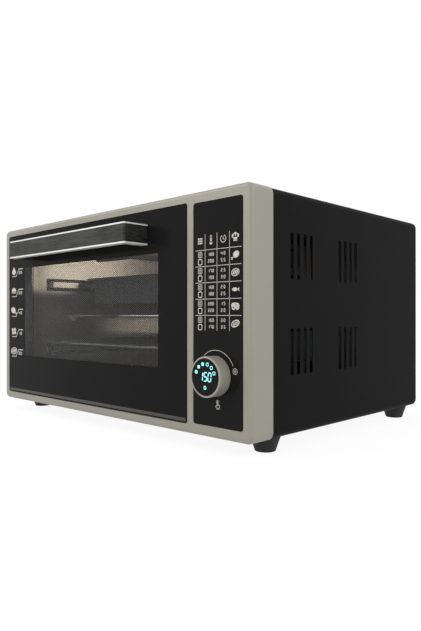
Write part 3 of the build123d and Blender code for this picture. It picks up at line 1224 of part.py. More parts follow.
CARRIER_WIDTH = PANEL_WIDTH - 2 * CARRIER_SIDE_GAP
CARRIER_HEIGHT = PANEL_HEIGHT - 2 * CARRIER_SIDE_GAP
CARRIER_RADIUS = OPENING_CORNER - CARRIER_SIDE_GAP
BOARD_WIDTH = CARRIER_WIDTH - 2 * (CARRIER_WALL + BOARD_EDGE_GAP)
BOARD_HEIGHT = CARRIER_HEIGHT - 2 * (CARRIER_WALL + BOARD_EDGE_GAP)
POST_SPAN_X = CARRIER_WIDTH - 2 * CARRIER_WALL - POST_RADIUS
POST_SPAN_Z = CARRIER_HEIGHT - 2 * CARRIER_WALL - POST_RADIUS
with BuildPart() as panel_carrier:
    with BuildSketch(upright(PANEL_BACK)):
        with Locations((PANEL_X, MID_Z)):
            RectangleRounded(CARRIER_WIDTH, CARRIER_HEIGHT, CARRIER_RADIUS)
            Rectangle(
                CARRIER_WIDTH - 2 * CARRIER_WALL,
                CARRIER_HEIGHT - 2 * CARRIER_WALL,
                mode=Mode.SUBTRACT,
            )
    extrude(amount=-(PLATE_Y - PANEL_BACK))
    with BuildSketch(upright(BOARD_BACK)):
        with Locations((PANEL_X, MID_Z)):
            with GridLocations(POST_SPAN_X, POST_SPAN_Z, 2, 2):
                Circle(POST_RADIUS)
    extrude(amount=-(PLATE_Y - BOARD_BACK))
panel_carrier.part.label = "panel_carrier"
export_step(panel_carrier.part, "parts/panel_carrier.step")

with BuildPart() as control_board:
    board_x = (PANEL_X - BOARD_WIDTH / 2, PANEL_X + BOARD_WIDTH / 2)
    block(board_x, (BOARD_FRONT, BOARD_BACK), (MID_Z - BOARD_HEIGHT / 2, MID_Z + BOARD_HEIGHT / 2))
control_board.part.label = "control_board"
export_step(control_board.part, "parts/control_board.step")

with BuildPart() as tact_switch:
    switch_front = BOARD_FRONT - SWITCH_HEIGHT
    half = SWITCH_SIZE / 2
    block((DIAL_X - half, DIAL_X + half), (switch_front, BOARD_FRONT), (DIAL_Z - half, DIAL_Z + half))
    rod_y((TAIL_END + BUTTON_TRAVEL + SCREW_FIT, switch_front), DIAL_X, DIAL_Z, SWITCH_TIP_RADIUS)
tact_switch.part.label = "tact_switch"
export_step(tact_switch.part, "parts/tact_switch.step")

# Dial: fixed hub, turning ring held by a retainer, and a push display in the middle
with BuildPart() as dial_hub:
    rod_y((PANEL_BACK, PANEL_BACK + HUB_FLANGE), DIAL_X, DIAL_Z, HUB_FLANGE_RADIUS)
    rod_y((HUB_STEP, PANEL_BACK), DIAL_X, DIAL_Z, HUB_SHOULDER_RADIUS)
    rod_y((HUB_FRONT, HUB_STEP), DIAL_X, DIAL_Z, HUB_RADIUS)
    rod_y((HUB_FRONT, PANEL_BACK + HUB_FLANGE), DIAL_X, DIAL_Z, HUB_BORE_RADIUS, Mode.SUBTRACT)
    with BuildSketch(upright(RETAINER_FRONT)):
        with Locations((DIAL_X, DIAL_Z)):
            Circle(HUB_RADIUS)
            Circle(HUB_RADIUS - RETAINER_GROOVE, mode=Mode.SUBTRACT)
    extrude(amount=-RETAINER_SHEET, mode=Mode.SUBTRACT)
dial_hub.part.label = "dial_hub"
export_step(dial_hub.part, "parts/dial_hub.step")

with BuildPart() as knob_retainer:
    with BuildSketch(upright(RETAINER_FRONT)):
        with Locations((DIAL_X, DIAL_Z)):
            Circle(RETAINER_RADIUS)
            Circle(HUB_RADIUS - RETAINER_GROOVE + RUNNING_FIT, mode=Mode.SUBTRACT)
    extrude(amount=-RETAINER_SHEET)
knob_retainer.part.label = "knob_retainer"
export_step(knob_retainer.part, "parts/knob_retainer.step")

with BuildPart() as knob_ring:
    rod_y((RING_FRONT, RING_BACK), DIAL_X, DIAL_Z, RING_RADIUS)
    fillet(knob_ring.faces().sort_by(Axis.Y)[0].edges(), RING_EDGE)
    rod_y((RING_FRONT, WEB_FRONT), DIAL_X, DIAL_Z, RING_RADIUS - RING_RIM, Mode.SUBTRACT)
    rod_y((WEB_BACK, RING_BACK), DIAL_X, DIAL_Z, RING_RADIUS - RING_RIM, Mode.SUBTRACT)
    rod_y((WEB_FRONT, WEB_BACK), DIAL_X, DIAL_Z, HUB_RADIUS + RUNNING_FIT, Mode.SUBTRACT)
knob_ring.part.label = "knob_ring"
export_step(knob_ring.part, "parts/knob_ring.step")

with BuildPart() as display_button:
    rod_y((DISC_FRONT, DISC_BACK), DIAL_X, DIAL_Z, BUTTON_RADIUS)
    rod_y((DISC_BACK, TAIL_END), DIAL_X, DIAL_Z, HUB_BORE_RADIUS - RUNNING_FIT)
    pocket = (DISC_FRONT, DISC_FRONT + DISPLAY_BOARD + SCREW_FIT)
    rod_y(pocket, DIAL_X, DIAL_Z, DISPLAY_RADIUS + SCREW_FIT, Mode.SUBTRACT)
display_button.part.label = "display_button"
export_step(display_button.part, "parts/display_button.step")

with BuildPart() as display_board:
    board_back = DISC_FRONT + DISPLAY_BOARD + SCREW_FIT
    rod_y((board_back - DISPLAY_BOARD, board_back), DIAL_X, DIAL_Z, DISPLAY_RADIUS)
display_board.part.label = "display_board"
export_step(display_board.part, "parts/display_board.step")

with BuildPart() as display_lens:
    rod_y((RING_FRONT, DISC_FRONT), DIAL_X, DIAL_Z, BUTTON_RADIUS)
display_lens.part.label = "display_lens"
export_step(display_lens.part, "parts/display_lens.step")

# Power board on its bracket, with relays and the ribbon cable to the panel
BRACKET_Y = PLATE_BACK + BRACKET_SETBACK
BRACKET_RUN = (BRACKET_Y, BRACKET_Y + BRACKET_LENGTH)
with BuildPart() as board_bracket:
    block((BRACKET_X, BRACKET_X + SHEET), BRACKET_RUN, (BASE_TOP, BASE_TOP + BRACKET_HEIGHT))
    block((BRACKET_X, BRACKET_X + BRACKET_FOOT), BRACKET_RUN, (BASE_TOP, BASE_TOP + SHEET))
    for y in (BRACKET_RUN[0] + STANDOFF_INSET, BRACKET_RUN[1] - STANDOFF_INSET):
        for z in (POWER_BOARD_LOW + STANDOFF_INSET, POWER_BOARD_TOP - STANDOFF_INSET):
            rod_x((BRACKET_X + SHEET, POWER_BOARD_X), y, z, STANDOFF_RADIUS)
board_bracket.part.label = "board_bracket"
export_step(board_bracket.part, "parts/board_bracket.step")

with BuildPart() as power_board:
    block((POWER_BOARD_X, POWER_BOARD_FACE), BRACKET_RUN, (POWER_BOARD_LOW, POWER_BOARD_TOP))
power_board.part.label = "power_board"
export_step(power_board.part, "parts/power_board.step")

with BuildPart() as relays:
    with BuildSketch(sideways(POWER_BOARD_FACE)):
        with Locations((BRACKET_Y + BRACKET_LENGTH / 2, POWER_BOARD_LOW + POWER_BOARD_HEIGHT / 2)):
            with GridLocations(RELAY_PITCH, RELAY_PITCH, RELAY_COUNT, 1):
                Rectangle(RELAY_LENGTH, RELAY_HEIGHT)
    extrude(amount=RELAY_DEPTH)
relays.part.label = "relays"
export_step(relays.part, "parts/relays.step")

with BuildPart() as ribbon_cable:
    block(
        (POWER_BOARD_FACE, POWER_BOARD_FACE + CABLE_THICKNESS),
        (BOARD_BACK, BRACKET_Y + CABLE_LAP),
        (POWER_BOARD_TOP - CABLE_WIDTH, POWER_BOARD_TOP),
    )
ribbon_cable.part.label = "ribbon_cable"
export_step(ribbon_cable.part, "parts/ribbon_cable.step")
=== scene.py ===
import math

import bpy
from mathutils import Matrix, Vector


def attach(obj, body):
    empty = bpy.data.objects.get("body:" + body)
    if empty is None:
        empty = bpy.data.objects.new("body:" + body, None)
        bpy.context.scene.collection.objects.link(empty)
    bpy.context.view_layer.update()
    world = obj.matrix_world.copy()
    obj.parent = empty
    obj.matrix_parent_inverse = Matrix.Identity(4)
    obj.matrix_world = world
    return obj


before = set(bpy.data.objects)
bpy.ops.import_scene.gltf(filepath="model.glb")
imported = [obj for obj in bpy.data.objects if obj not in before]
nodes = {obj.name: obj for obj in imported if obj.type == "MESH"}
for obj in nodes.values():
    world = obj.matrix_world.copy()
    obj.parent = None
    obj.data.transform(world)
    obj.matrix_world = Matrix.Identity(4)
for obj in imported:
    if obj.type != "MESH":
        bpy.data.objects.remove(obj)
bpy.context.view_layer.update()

MM = 0.001

# Places on the front, in millimetres, in the part's own frame
GLASS_FRONT = -195.2
GLASS_SIDES = (-279.6, 186.45)
GLASS_HEIGHTS = (37.6, 308.4)
WINDOW_SIDES = (-224.075, 130.925)
WINDOW_HEIGHTS = (97.4, 250.4)
PANEL_FRONT = -195.3
PANEL_X = 239.275
DIAL_X = 236.575
DIAL_Z = 94.6
DIAL_FACE = -213.9
PRINT_RISE = 0.05
RUNNER_Y = -19.7
RUNNER_HEIGHTS = (224.0, 107.0)
RUNNER_HALF = (121.0, 11.0)
RUNNER_FACE_HALF = (112.5, 4.8)
# Edges of the painted highlight and painted shade bands at the side walls' front edge
MOUTH_BAND_EDGES = (-172.7, -169.7, -166.7)
HANDLE_LEFT_END = -180.0
HANDLE_BACK = -224.2


# Materials
NOISE_ROUGHNESS = 0.55


def new_material(name):
    material = bpy.data.materials.new(name)
    material.use_nodes = True
    shader = material.node_tree.nodes["Principled BSDF"]
    return material, material.node_tree, shader


def add_noise(tree, scale, stretch=(1, 1, 1), detail=3.0):
    coordinate = tree.nodes.new("ShaderNodeTexCoord")
    mapping = tree.nodes.new("ShaderNodeMapping")
    mapping.inputs["Scale"].default_value = stretch
    noise = tree.nodes.new("ShaderNodeTexNoise")
    noise.inputs["Scale"].default_value = scale
    noise.inputs["Detail"].default_value = detail
    noise.inputs["Roughness"].default_value = NOISE_ROUGHNESS
    tree.links.new(coordinate.outputs["Object"], mapping.inputs["Vector"])
    tree.links.new(mapping.outputs["Vector"], noise.inputs["Vector"])
    return noise.outputs["Fac"]


def ramp(tree, factor, low, high, start=0.3, end=0.7):
    node = tree.nodes.new("ShaderNodeValToRGB")
    node.color_ramp.elements[0].position = start
    node.color_ramp.elements[1].position = end
    node.color_ramp.elements[0].color = (*low, 1)
    node.color_ramp.elements[1].color = (*high, 1)
    tree.links.new(factor, node.inputs["Fac"])
    return node.outputs["Color"]


def span(tree, value, low, high, start=0.0, end=1.0):
    """An amount that goes from low to high as the value goes from start to end."""
    node = tree.nodes.new("ShaderNodeMapRange")
    node.inputs["From Min"].default_value = start
    node.inputs["From Max"].default_value = end
    node.inputs["To Min"].default_value = low
    node.inputs["To Max"].default_value = high
    tree.links.new(value, node.inputs["Value"])
    return node.outputs["Result"]


def calc(tree, operation, value, other=0.0):
    """One arithmetic step; the second value is a number or another step."""
    node = tree.nodes.new("ShaderNodeMath")
    node.operation = operation
    tree.links.new(value, node.inputs[0])
    if isinstance(other, float):
        node.inputs[1].default_value = other
    else:
        tree.links.new(other, node.inputs[1])
    return node.outputs[0]


def bump(tree, shader, factor, distance):
    node = tree.nodes.new("ShaderNodeBump")
    node.inputs["Strength"].default_value = 1.0
    node.inputs["Distance"].default_value = distance
    tree.links.new(factor, node.inputs["Height"])
    tree.links.new(node.outputs["Normal"], shader.inputs["Normal"])


def shade(tone, amount):
    return tuple(channel * amount for channel in tone)


def surface(
    name,
    tone,
    spread=0.06,
    roughness=(0.35, 0.5),
    metallic=0.0,
    scale=900.0,
    stretch=(1, 1, 1),
    relief=0.00001,
    cloud=18.0,
    specular=0.5,
    anisotropic=0.0,
    edges=(0.3, 0.7),
):
    """Procedural finish: broad tone drift, fine grain in roughness and relief."""
    material, tree, shader = new_material(name)
    drift = add_noise(tree, cloud, detail=2.0)
    grain = add_noise(tree, scale, stretch, detail=4.0)
    mixed = calc(tree, "ADD", calc(tree, "MULTIPLY", grain, 0.5), calc(tree, "MULTIPLY", drift, 0.5))
    colour = ramp(tree, mixed, shade(tone, 1 - spread), shade(tone, 1 + spread), *edges)
    tree.links.new(colour, shader.inputs["Base Color"])
    tree.links.new(span(tree, grain, *roughness), shader.inputs["Roughness"])
    shader.inputs["Metallic"].default_value = metallic
    shader.inputs["Specular IOR Level"].default_value = specular
    shader.inputs["Anisotropic"].default_value = anisotropic
    bump(tree, shader, grain, relief)
    return material


def tint(material, amount):
    """Multiplies the base colour by a grey amount."""
    tree = material.node_tree
    shader = tree.nodes["Principled BSDF"]
    mix = tree.nodes.new("ShaderNodeMix")
    mix.data_type = "RGBA"
    mix.blend_type = "MULTIPLY"
    mix.inputs["Factor"].default_value = 1.0
    tree.links.new(shader.inputs["Base Color"].links[0].from_socket, mix.inputs["A"])
    tree.links.new(amount, mix.inputs["B"])
    tree.links.new(mix.outputs["Result"], shader.inputs["Base Color"])


def local(tree, kind, axis):
    """One axis of the place ("Object") or the facing ("Normal"), in the object's own frame."""
    source = tree.nodes.new("ShaderNodeTexCoord")
    parts = tree.nodes.new("ShaderNodeSeparateXYZ")
    tree.links.new(source.outputs[kind], parts.inputs[0])
    return parts.outputs[axis]


def every(tree, conditions):
    """The product of several masks or amounts."""
    total = conditions[0]
    for condition in conditions[1:]:
        total = calc(tree, "MULTIPLY", total, condition)
    return total


STEP_MARGIN = 0.01


def steps(tree, value, places, amounts):
    """Grey amounts over a value: one more amount than places."""
    low, high = places[0] - STEP_MARGIN, places[-1] + STEP_MARGIN
    node = tree.nodes.new("ShaderNodeValToRGB")
    node.color_ramp.interpolation = "CONSTANT"
    stops = node.color_ramp.elements
    while len(stops) < len(amounts):
        stops.new(1.0)
    for stop, place, amount in zip(stops, [low, *places], amounts):
        stop.position = (place - low) / (high - low)
        stop.color = (amount, amount, amount, 1)
    tree.links.new(span(tree, value, 0.0, 1.0, low, high), node.inputs["Fac"])
    return node.outputs["Color"]


def within(tree, offsets, halves):
    """A mask of a box, from the distances to its middle and its half sizes."""
    return every(tree, [calc(tree, "LESS_THAN", off, half * MM) for off, half in zip(offsets, halves)])


def glass(name, tone, ior, roughness=(0.0, 0.02)):
    material, tree, shader = new_material(name)
    drift = add_noise(tree, 9.0)
    tree.links.new(ramp(tree, drift, shade(tone, 0.985), tone), shader.inputs["Base Color"])
    tree.links.new(span(tree, drift, *roughness), shader.inputs["Roughness"])
    shader.inputs["Transmission Weight"].default_value = 1.0
    shader.inputs["IOR"].default_value = ior
    return material


def glow(name, tone, strength):
    material, tree, shader = new_material(name)
    grain = add_noise(tree, 1500.0)
    colour = ramp(tree, grain, shade(tone, 0.93), tone)
    tree.links.new(colour, shader.inputs["Base Color"])
    tree.links.new(colour, shader.inputs["Emission Color"])
    shader.inputs["Emission Strength"].default_value = strength
    return material


champagne_paint = surface(
    "champagne_paint",
    (0.312, 0.296, 0.246),
    0.05,
    (0.36, 0.50),
    metallic=0.15,
    scale=2600,
    relief=0.000006,
    cloud=7,
)
knob_metal = surface(
    "knob_metal",
    (0.335, 0.318, 0.268),
    0.10,
    (0.36, 0.48),
    metallic=0.18,
    scale=420,
    stretch=(1, 9, 1),
    relief=0.000006,
)
black_wrap = surface(
    "black_wrap", (0.0094, 0.0093, 0.0092), 0.10, (0.46, 0.60), scale=1900, relief=0.000018, specular=0.03
)
black_plastic = surface("black_plastic", (0.018, 0.018, 0.018), 0.1, (0.45, 0.6), scale=1500, relief=0.00002)
foot_rubber = surface(
    "foot_rubber", (0.016, 0.016, 0.0155), 0.12, (0.6, 0.8), scale=1100, relief=0.00003, specular=0.35
)
cavity_steel, wall_steel = [
    surface(name, (0.50, 0.46, 0.41), 0.06, (0.30, 0.42), metallic=0.80, scale=300, stretch=(1, 1, 6))
    for name in ("cavity_steel", "wall_steel")
]
# Side walls: painted shade on the slopes around the runner faces, a painted highlight over painted shade at
# the front edge of the mouth, and painted shade on the outer side
RUNNER_SLOPE_SHADE = 0.07
MOUTH_HIGHLIGHT_SHADE_TONES = (1.0, 1.9, 0.30, 1.0)
OUTER_SIDE_SHADE = 0.09
OUTWARD_LEAST = 0.02
tree = wall_steel.node_tree
x, y, z = [local(tree, "Object", axis) for axis in "XYZ"]
off_y = calc(tree, "ABSOLUTE", calc(tree, "SUBTRACT", y, RUNNER_Y * MM))
off_runners = [calc(tree, "ABSOLUTE", calc(tree, "SUBTRACT", z, height * MM)) for height in RUNNER_HEIGHTS]
offsets = (off_y, calc(tree, "MINIMUM", *off_runners))
pressed = within(tree, offsets, RUNNER_HALF)
face = within(tree, offsets, RUNNER_FACE_HALF)
# Painted shade: darkens the ring between the runner outline and the runner face
tint(wall_steel, span(tree, calc(tree, "SUBTRACT", pressed, face), 1.0, RUNNER_SLOPE_SHADE))
# Painted highlight then painted shade in two narrow bands at the wall's front edge
tint(wall_steel, steps(tree, y, [edge * MM for edge in MOUTH_BAND_EDGES], MOUTH_HIGHLIGHT_SHADE_TONES))
# Painted shade: darkens the walls' outward-facing side, which is seen through the louvres
outward = calc(tree, "MULTIPLY", x, local(tree, "Normal", "X"))
tint(wall_steel, span(tree, calc(tree, "GREATER_THAN", outward, OUTWARD_LEAST), 1.0, OUTER_SIDE_SHADE))
galvanised_steel = surface(
    "galvanised_steel",
    (0.40, 0.41, 0.42),
    0.2,
    (0.32, 0.5),
    metallic=0.9,
    scale=120,
    relief=0.000012,
    cloud=40,
)
steel_hardware = surface(
    "steel_hardware", (0.50, 0.50, 0.49), 0.08, (0.25, 0.38), metallic=1.0, scale=700, relief=0.000008
)
handle_metal = surface(
    "handle_metal",
    (0.028, 0.0275, 0.0265),
    0.60,
    (0.34, 0.56),
    metallic=0.55,
    scale=520,
    stretch=(0.05, 0.2, 1),
    relief=0.00016,
    anisotropic=0.3,
    edges=(0.42, 0.58),
)
bright_trim = surface(
    "bright_trim",
    (0.80, 0.80, 0.79),
    0.05,
    (0.30, 0.42),
    metallic=0.30,
    scale=700,
    stretch=(0.05, 1, 1),
    relief=0.000006,
)
# Painted shade on the inner and under faces of the trims' left return
RETURN_SHADE_TONE = 0.03
tree = bright_trim.node_tree
inner = every(
    tree,
    [
        calc(tree, "LESS_THAN", local(tree, "Object", "X"), HANDLE_LEFT_END * MM),
        calc(tree, "GREATER_THAN", local(tree, "Object", "Y"), HANDLE_BACK * MM),
        calc(tree, "GREATER_THAN", local(tree, "Normal", "X"), -0.5),
        calc(tree, "LESS_THAN", local(tree, "Normal", "Z"), 0.5),
    ],
)
# Painted shade: darkens the masked faces of the left return
tint(bright_trim, span(tree, inner, 1.0, RETURN_SHADE_TONE))
strip_metal = surface(
    "strip_metal", (0.062, 0.058, 0.053), 0.1, (0.36, 0.5), metallic=0.3, scale=900, stretch=(0.1, 1, 1)
)
heater_sheath = surface(
    "heater_sheath", (0.15, 0.145, 0.14), 0.25, (0.35, 0.55), metallic=0.8, scale=160, relief=0.00001
)
ceramic = surface("ceramic", (0.72, 0.68, 0.60), 0.06, (0.35, 0.5), scale=300)
tray_enamel = surface(
    "tray_enamel", (0.13, 0.13, 0.13), 0.12, (0.45, 0.60), scale=700, relief=0.00002, cloud=60
)
rack_chrome = surface("rack_chrome", (0.30, 0.295, 0.285), 0.06, (0.26, 0.38), metallic=0.9, scale=500)
cradle_steel = surface("cradle_steel", (0.95, 0.94, 0.92), 0.05, (0.32, 0.44), metallic=0.15, scale=500)
spit_steel = surface("spit_steel", (0.95, 0.94, 0.92), 0.05, (0.10, 0.18), metallic=1.0, scale=500)
board_laminate = surface(
    "board_laminate",
    (0.009, 0.0115, 0.0095),
    0.3,
    (0.4, 0.55),
    scale=260,
    stretch=(1, 1, 0.2),
    cloud=90,
    specular=0.2,
)
bracket_black = surface("bracket_black", (0.012, 0.012, 0.012), 0.15, (0.6, 0.75), scale=900, specular=0.03)
relay_case = surface("relay_case", (0.008, 0.008, 0.009), 0.15, (0.35, 0.5), scale=600, specular=0.3)
cable_jacket = surface("cable_jacket", (0.35, 0.35, 0.35), 0.2, (0.4, 0.55), scale=900, stretch=(1, 0.02, 1))
panel_gloss = surface(
    "panel_gloss", (0.0120, 0.0119, 0.0118), 0.06, (0.05, 0.09), scale=500, relief=0.0000008, specular=0.05
)
display_gloss = surface(
    "display_gloss", (0.006, 0.0062, 0.0065), 0.06, (0.04, 0.08), scale=500, relief=0.0000008, specular=0.09
)
door_glass = glass("door_glass", (0.90, 0.90, 0.90), 1.15)
clear_glass = glass("clear_glass", (0.94, 0.94, 0.94), 1.14)
lens_glass = glass("lens_glass", (0.98, 0.95, 0.88), 1.30, (0.15, 0.3))
black_print = surface(
    "black_print", (0.0120, 0.0119, 0.0118), 0.06, (0.10, 0.18), scale=500, relief=0.0000008, specular=0.035
)
dot_print = surface("dot_print", (0.046, 0.0455, 0.044), 0.08, (0.5, 0.6), scale=900, specular=0.1)
cream_print = surface("cream_print", (0.62, 0.59, 0.51), 0.05, (0.45, 0.55), scale=1500, relief=0.000002)
cyan_glow = glow("cyan_glow", (0.30, 0.88, 0.92), 0.75)

FINISH = {
    champagne_paint: ["bezel"],
    knob_metal: ["knob_ring"],
    black_wrap: ["outer_wrap", "rear_cover"],
    black_plastic: [
        "cord_gland",
        "panel_carrier",
        "tact_switch",
        "dial_hub",
        "display_button",
        "spit_motor",
    ],
    foot_rubber: ["foot_front_left", "foot_front_right", "foot_rear_left", "foot_rear_right"],
    wall_steel: ["cavity_left_wall", "cavity_right_wall"],
    cavity_steel: ["cavity_ceiling", "cavity_floor", "cavity_back_wall"],
    galvanised_steel: ["chassis_front_plate", "base_plate", "door_carrier", "hinge_brackets"],
    bracket_black: ["board_bracket", "cavity_supports", "lamp_holder"],
    steel_hardware: [
        "bezel_screws",
        "rear_cover_screws",
        "foot_screws",
        "temperature_probe",
        "spit_drive_socket",
        "inner_glass_clips",
        "handle_screws",
        "door_stays",
        "hinge_pins",
        "door_springs",
        "knob_retainer",
    ],
    handle_metal: ["handle_bar"],
    bright_trim: ["handle_trim_top", "handle_trim_bottom"],
    strip_metal: ["door_lower_rail"],
    heater_sheath: ["upper_heaters", "lower_heaters"],
    ceramic: ["heater_bushings", "thermal_cutout"],
    tray_enamel: ["baking_tray"],
    rack_chrome: ["wire_rack"],
    spit_steel: ["spit_rod"],
    cradle_steel: ["spit_cradle"],
    board_laminate: ["control_board", "power_board", "display_board"],
    relay_case: ["relays"],
    cable_jacket: ["ribbon_cable"],
    panel_gloss: ["control_panel"],
    display_gloss: ["display_lens"],
    door_glass: ["door_outer_glass"],
    clear_glass: ["door_inner_glass", "lamp_bulb"],
    lens_glass: ["lamp_lens"],
}
for finish, names in FINISH.items():
    for name in names:
        mesh = nodes[name].data
        mesh.materials.clear()
        mesh.materials.append(finish)


# Flat shapes for the prints: lists of (x, z) outlines in millimetres
def turn(points, degrees):
    c, s = math.cos(math.radians(degrees)), math.sin(math.radians(degrees))
    return [(x * c - z * s, x * s + z * c) for x, z in points]


def shift(shapes, x, z, width=1.0, height=None):
    height = width if height is None else height
    return [[(x + width * a, z + height * b) for a, b in outline] for outline in shapes]


def ellipse(x, z, a, b, degrees=0.0, count=28):
    ring = [
        (a * math.cos(2 * math.pi * i / count), b * math.sin(2 * math.pi * i / count)) for i in range(count)
    ]
    return [(x + p, z + q) for p, q in turn(ring, degrees)]


def arc(x, z, radius, start, end, count=32):
    angles = [math.radians(start + (end - start) * i / count) for i in range(count + 1)]
    return [(x + radius * math.cos(a), z + radius * math.sin(a)) for a in angles]


def rounded(x, z, width, height, radius, count=5):
    outline = []
    for cx, cz, start in (
        (width / 2 - radius, height / 2 - radius, 0),
        (-width / 2 + radius, height / 2 - radius, 90),
        (-width / 2 + radius, -height / 2 + radius, 180),
        (width / 2 - radius, -height / 2 + radius, 270),
    ):
        outline += arc(x + cx, z + cz, radius, start, start + 90, count)
    return outline


def stroke(points, width, closed=False):
    """Ribbon of a steady width along a path, as four-sided outlines."""
    path = [Vector(p) for p in points]
    count = len(path)
    left, right = [], []
    for i, here in enumerate(path):
        before = path[i - 1] if closed or i else here
        after = path[(i + 1) % count] if closed or i < count - 1 else here
        a = (here - before).normalized() if here != before else Vector((0, 0))
        b = (after - here).normalized() if after != here else Vector((0, 0))
        along = (a + b).normalized()
        across = Vector((-along.y, along.x))
        reach = width / 2
        if a.length and b.length:
            reach /= max(0.5, across.dot(Vector((-b.y, b.x))))
        left.append(here + across * reach)
        right.append(here - across * reach)
    last = count if closed else count - 1
    return [
        [tuple(right[i]), tuple(right[(i + 1) % count]), tuple(left[(i + 1) % count]), tuple(left[i])]
        for i in range(last)
    ]


def ring(x, z, radius, width, count=32):
    return stroke(ellipse(x, z, radius, radius, count=count), width, closed=True)


SEGMENTS = {
    "a": ((0, 2), (1, 2)),
    "b": ((1, 2), (1, 1)),
    "c": ((1, 1), (1, 0)),
    "d": ((0, 0), (1, 0)),
    "e": ((0, 0), (0, 1)),
    "f": ((0, 1), (0, 2)),
    "g": ((0, 1), (1, 1)),
}
DIGITS = {
    "0": "abcdef",
    "1": "bc",
    "2": "abged",
    "3": "abgcd",
    "4": "fgbc",
    "5": "afgcd",
    "6": "afgedc",
    "7": "abc",
    "8": "abcdefg",
    "9": "abcfgd",
}


def number(text, x, z, height, width, line, pitch, slant=0.0, gap=0.0):
    """Figures made of straight segments, centred on x and z."""
    shapes = []
    start = x - (pitch * (len(text) - 1) + width) / 2
    for place, digit in enumerate(text):
        for key in DIGITS[digit]:
            ends = [Vector(end) for end in SEGMENTS[key]]
            along = (ends[1] - ends[0]).normalized()
            points = []
            for end, sign in zip(ends, (1, -1)):
                px = start + place * pitch + end.x * width + sign * along.x * gap
                pz = z - height / 2 + end.y * height / 2 + sign * along.y * gap
                points.append((px + slant * (pz - z), pz))
            shapes += stroke(points, line)
    return shapes


def drumstick():
    shapes = [ellipse(1.0, 0.8, 4.3, 3.4, 25)]
    shapes += stroke([(-2.0, -1.4), (-4.8, -3.2)], 1.3)
    return shapes + [ellipse(-5.2, -2.7, 0.9, 0.9, count=12), ellipse(-4.6, -3.9, 0.9, 0.9, count=12)]


def loaf():
    shapes = stroke(ellipse(0, 0, 5.2, 3.5, 12), 0.9, closed=True)
    for offset in (-2.4, 0.0, 2.4):
        shapes += stroke([(offset - 1.0, -2.0), (offset + 1.4, 2.2)], 1.5)
    return shapes


def fish():
    body = arc(-0.8, -3.0, 5.0, 37, 143, 12) + arc(-0.8, 3.0, 5.0, 217, 323, 12)
    return [body, [(2.6, 0.0), (5.6, 2.4), (4.9, 0.0), (5.6, -2.4)]]


def steak():
    outline = [
        (-4.8, 1.2),
        (-4.0, 2.8),
        (-1.6, 3.2),
        (1.4, 3.0),
        (4.0, 2.6),
        (4.9, 0.6),
        (4.2, -2.2),
        (2.0, -2.8),
        (0.9, -1.4),
        (-0.7, -1.3),
        (-1.6, -2.9),
        (-3.8, -2.4),
    ]
    return stroke(outline, 1.5, closed=True) + [ellipse(-1.4, 0.9, 2.6, 1.5), ellipse(2.4, 0.4, 2.0, 1.6)]


def pasty():
    shapes = stroke(ellipse(0, 0, 5.3, 3.0, 20), 1.2, closed=True)
    for offset in (-2.6, -0.9, 0.9, 2.6):
        shapes += stroke([(offset - 0.4, -1.9 + 0.3 * offset), (offset + 0.7, 1.7 + 0.3 * offset)], 1.0)
    return shapes


def pear():
    outline = arc(0, -1.2, 3.3, 150, 390, 20) + [(1.3, 2.6), (0.5, 4.2), (-0.6, 4.2), (-1.3, 2.6)]
    return [outline]


def cluster():
    places = ((-2.2, 1.6), (1.9, 1.9), (-1.7, -2.1), (2.2, -1.7))
    return [ellipse(x, z, 1.9, 1.9, count=14) for x, z in places]


def bun():
    return [arc(0, -0.4, 4.2, 0, 180, 20)] + stroke([(-4.2, -1.8), (4.2, -1.8)], 1.1)


def grid_icon():
    shapes = []
    for x in (-2.6, 0.0, 2.6):
        for z in (-2.6, 0.0, 2.6):
            shapes.append(rounded(x, z, 2.0, 2.0, 0.3, 2))
    return shapes


def thermometer():
    stem = rounded(0, 1.2, 2.2, 8.4, 1.05)
    return stroke(stem, 0.7, closed=True) + [ellipse(0, -3.2, 2.2, 2.2), rounded(0, -0.6, 0.9, 5.0, 0.4)]


def clock_icon():
    return stroke(arc(0, 0, 4.1, 120, 430, 30), 0.9) + stroke([(0.2, 2.6), (0, 0), (1.9, -1.3)], 0.9)


def chef_hat():
    shapes = [ellipse(x, z, r, r, count=18) for x, z, r in ((-3.0, 1.6, 2.4), (0, 2.8, 2.7), (3.0, 1.6, 2.4))]
    return shapes + [
        [(-3.2, 1.5), (3.2, 1.5), (2.8, -2.4), (-2.8, -2.4)],
        [(-2.8, -3.0), (2.8, -3.0), (2.8, -4.2), (-2.8, -4.2)],
    ]


def hand_icon():
    finger = rounded(-0.4, 1.4, 1.7, 6.0, 0.8)
    palm = [
        (-1.2, -0.6),
        (0.6, 0.2),
        (2.8, -0.4),
        (3.0, -2.6),
        (2.0, -5.0),
        (-1.0, -5.0),
        (-3.2, -2.4),
        (-2.6, -1.6),
    ]
    return [finger] + stroke(palm, 0.9, closed=True) + ring(-0.4, 3.4, 2.1, 0.5, 18)


def start_icon():
    return ring(0, 0, 3.4, 0.6, 24) + ring(0, 0, 1.7, 0.5, 18) + stroke([(-0.9, 0), (0.9, 0)], 0.5)


def add_piece(name, corners, faces, finish, body):
    mesh = bpy.data.meshes.new(name)
    mesh.from_pydata(corners, [], faces)
    mesh.materials.append(finish)
    piece = bpy.data.objects.new(name, mesh)
    bpy.context.scene.collection.objects.link(piece)
    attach(piece, body)


def print_piece(name, shapes, y, finish, body):
    """Flat print of many outlines on the plane y, facing the front."""
    corners, faces = [], []
    for outline in shapes:
        turning = sum(a[0] * b[1] - b[0] * a[1] for a, b in zip(outline, outline[1:] + outline[:1]))
        if turning < 0:
            outline = outline[::-1]
        faces.append(list(range(len(corners), len(corners) + len(outline))))
        corners += [(x * MM, y * MM, z * MM) for x, z in outline]
    add_piece(name, corners, faces, finish, body)


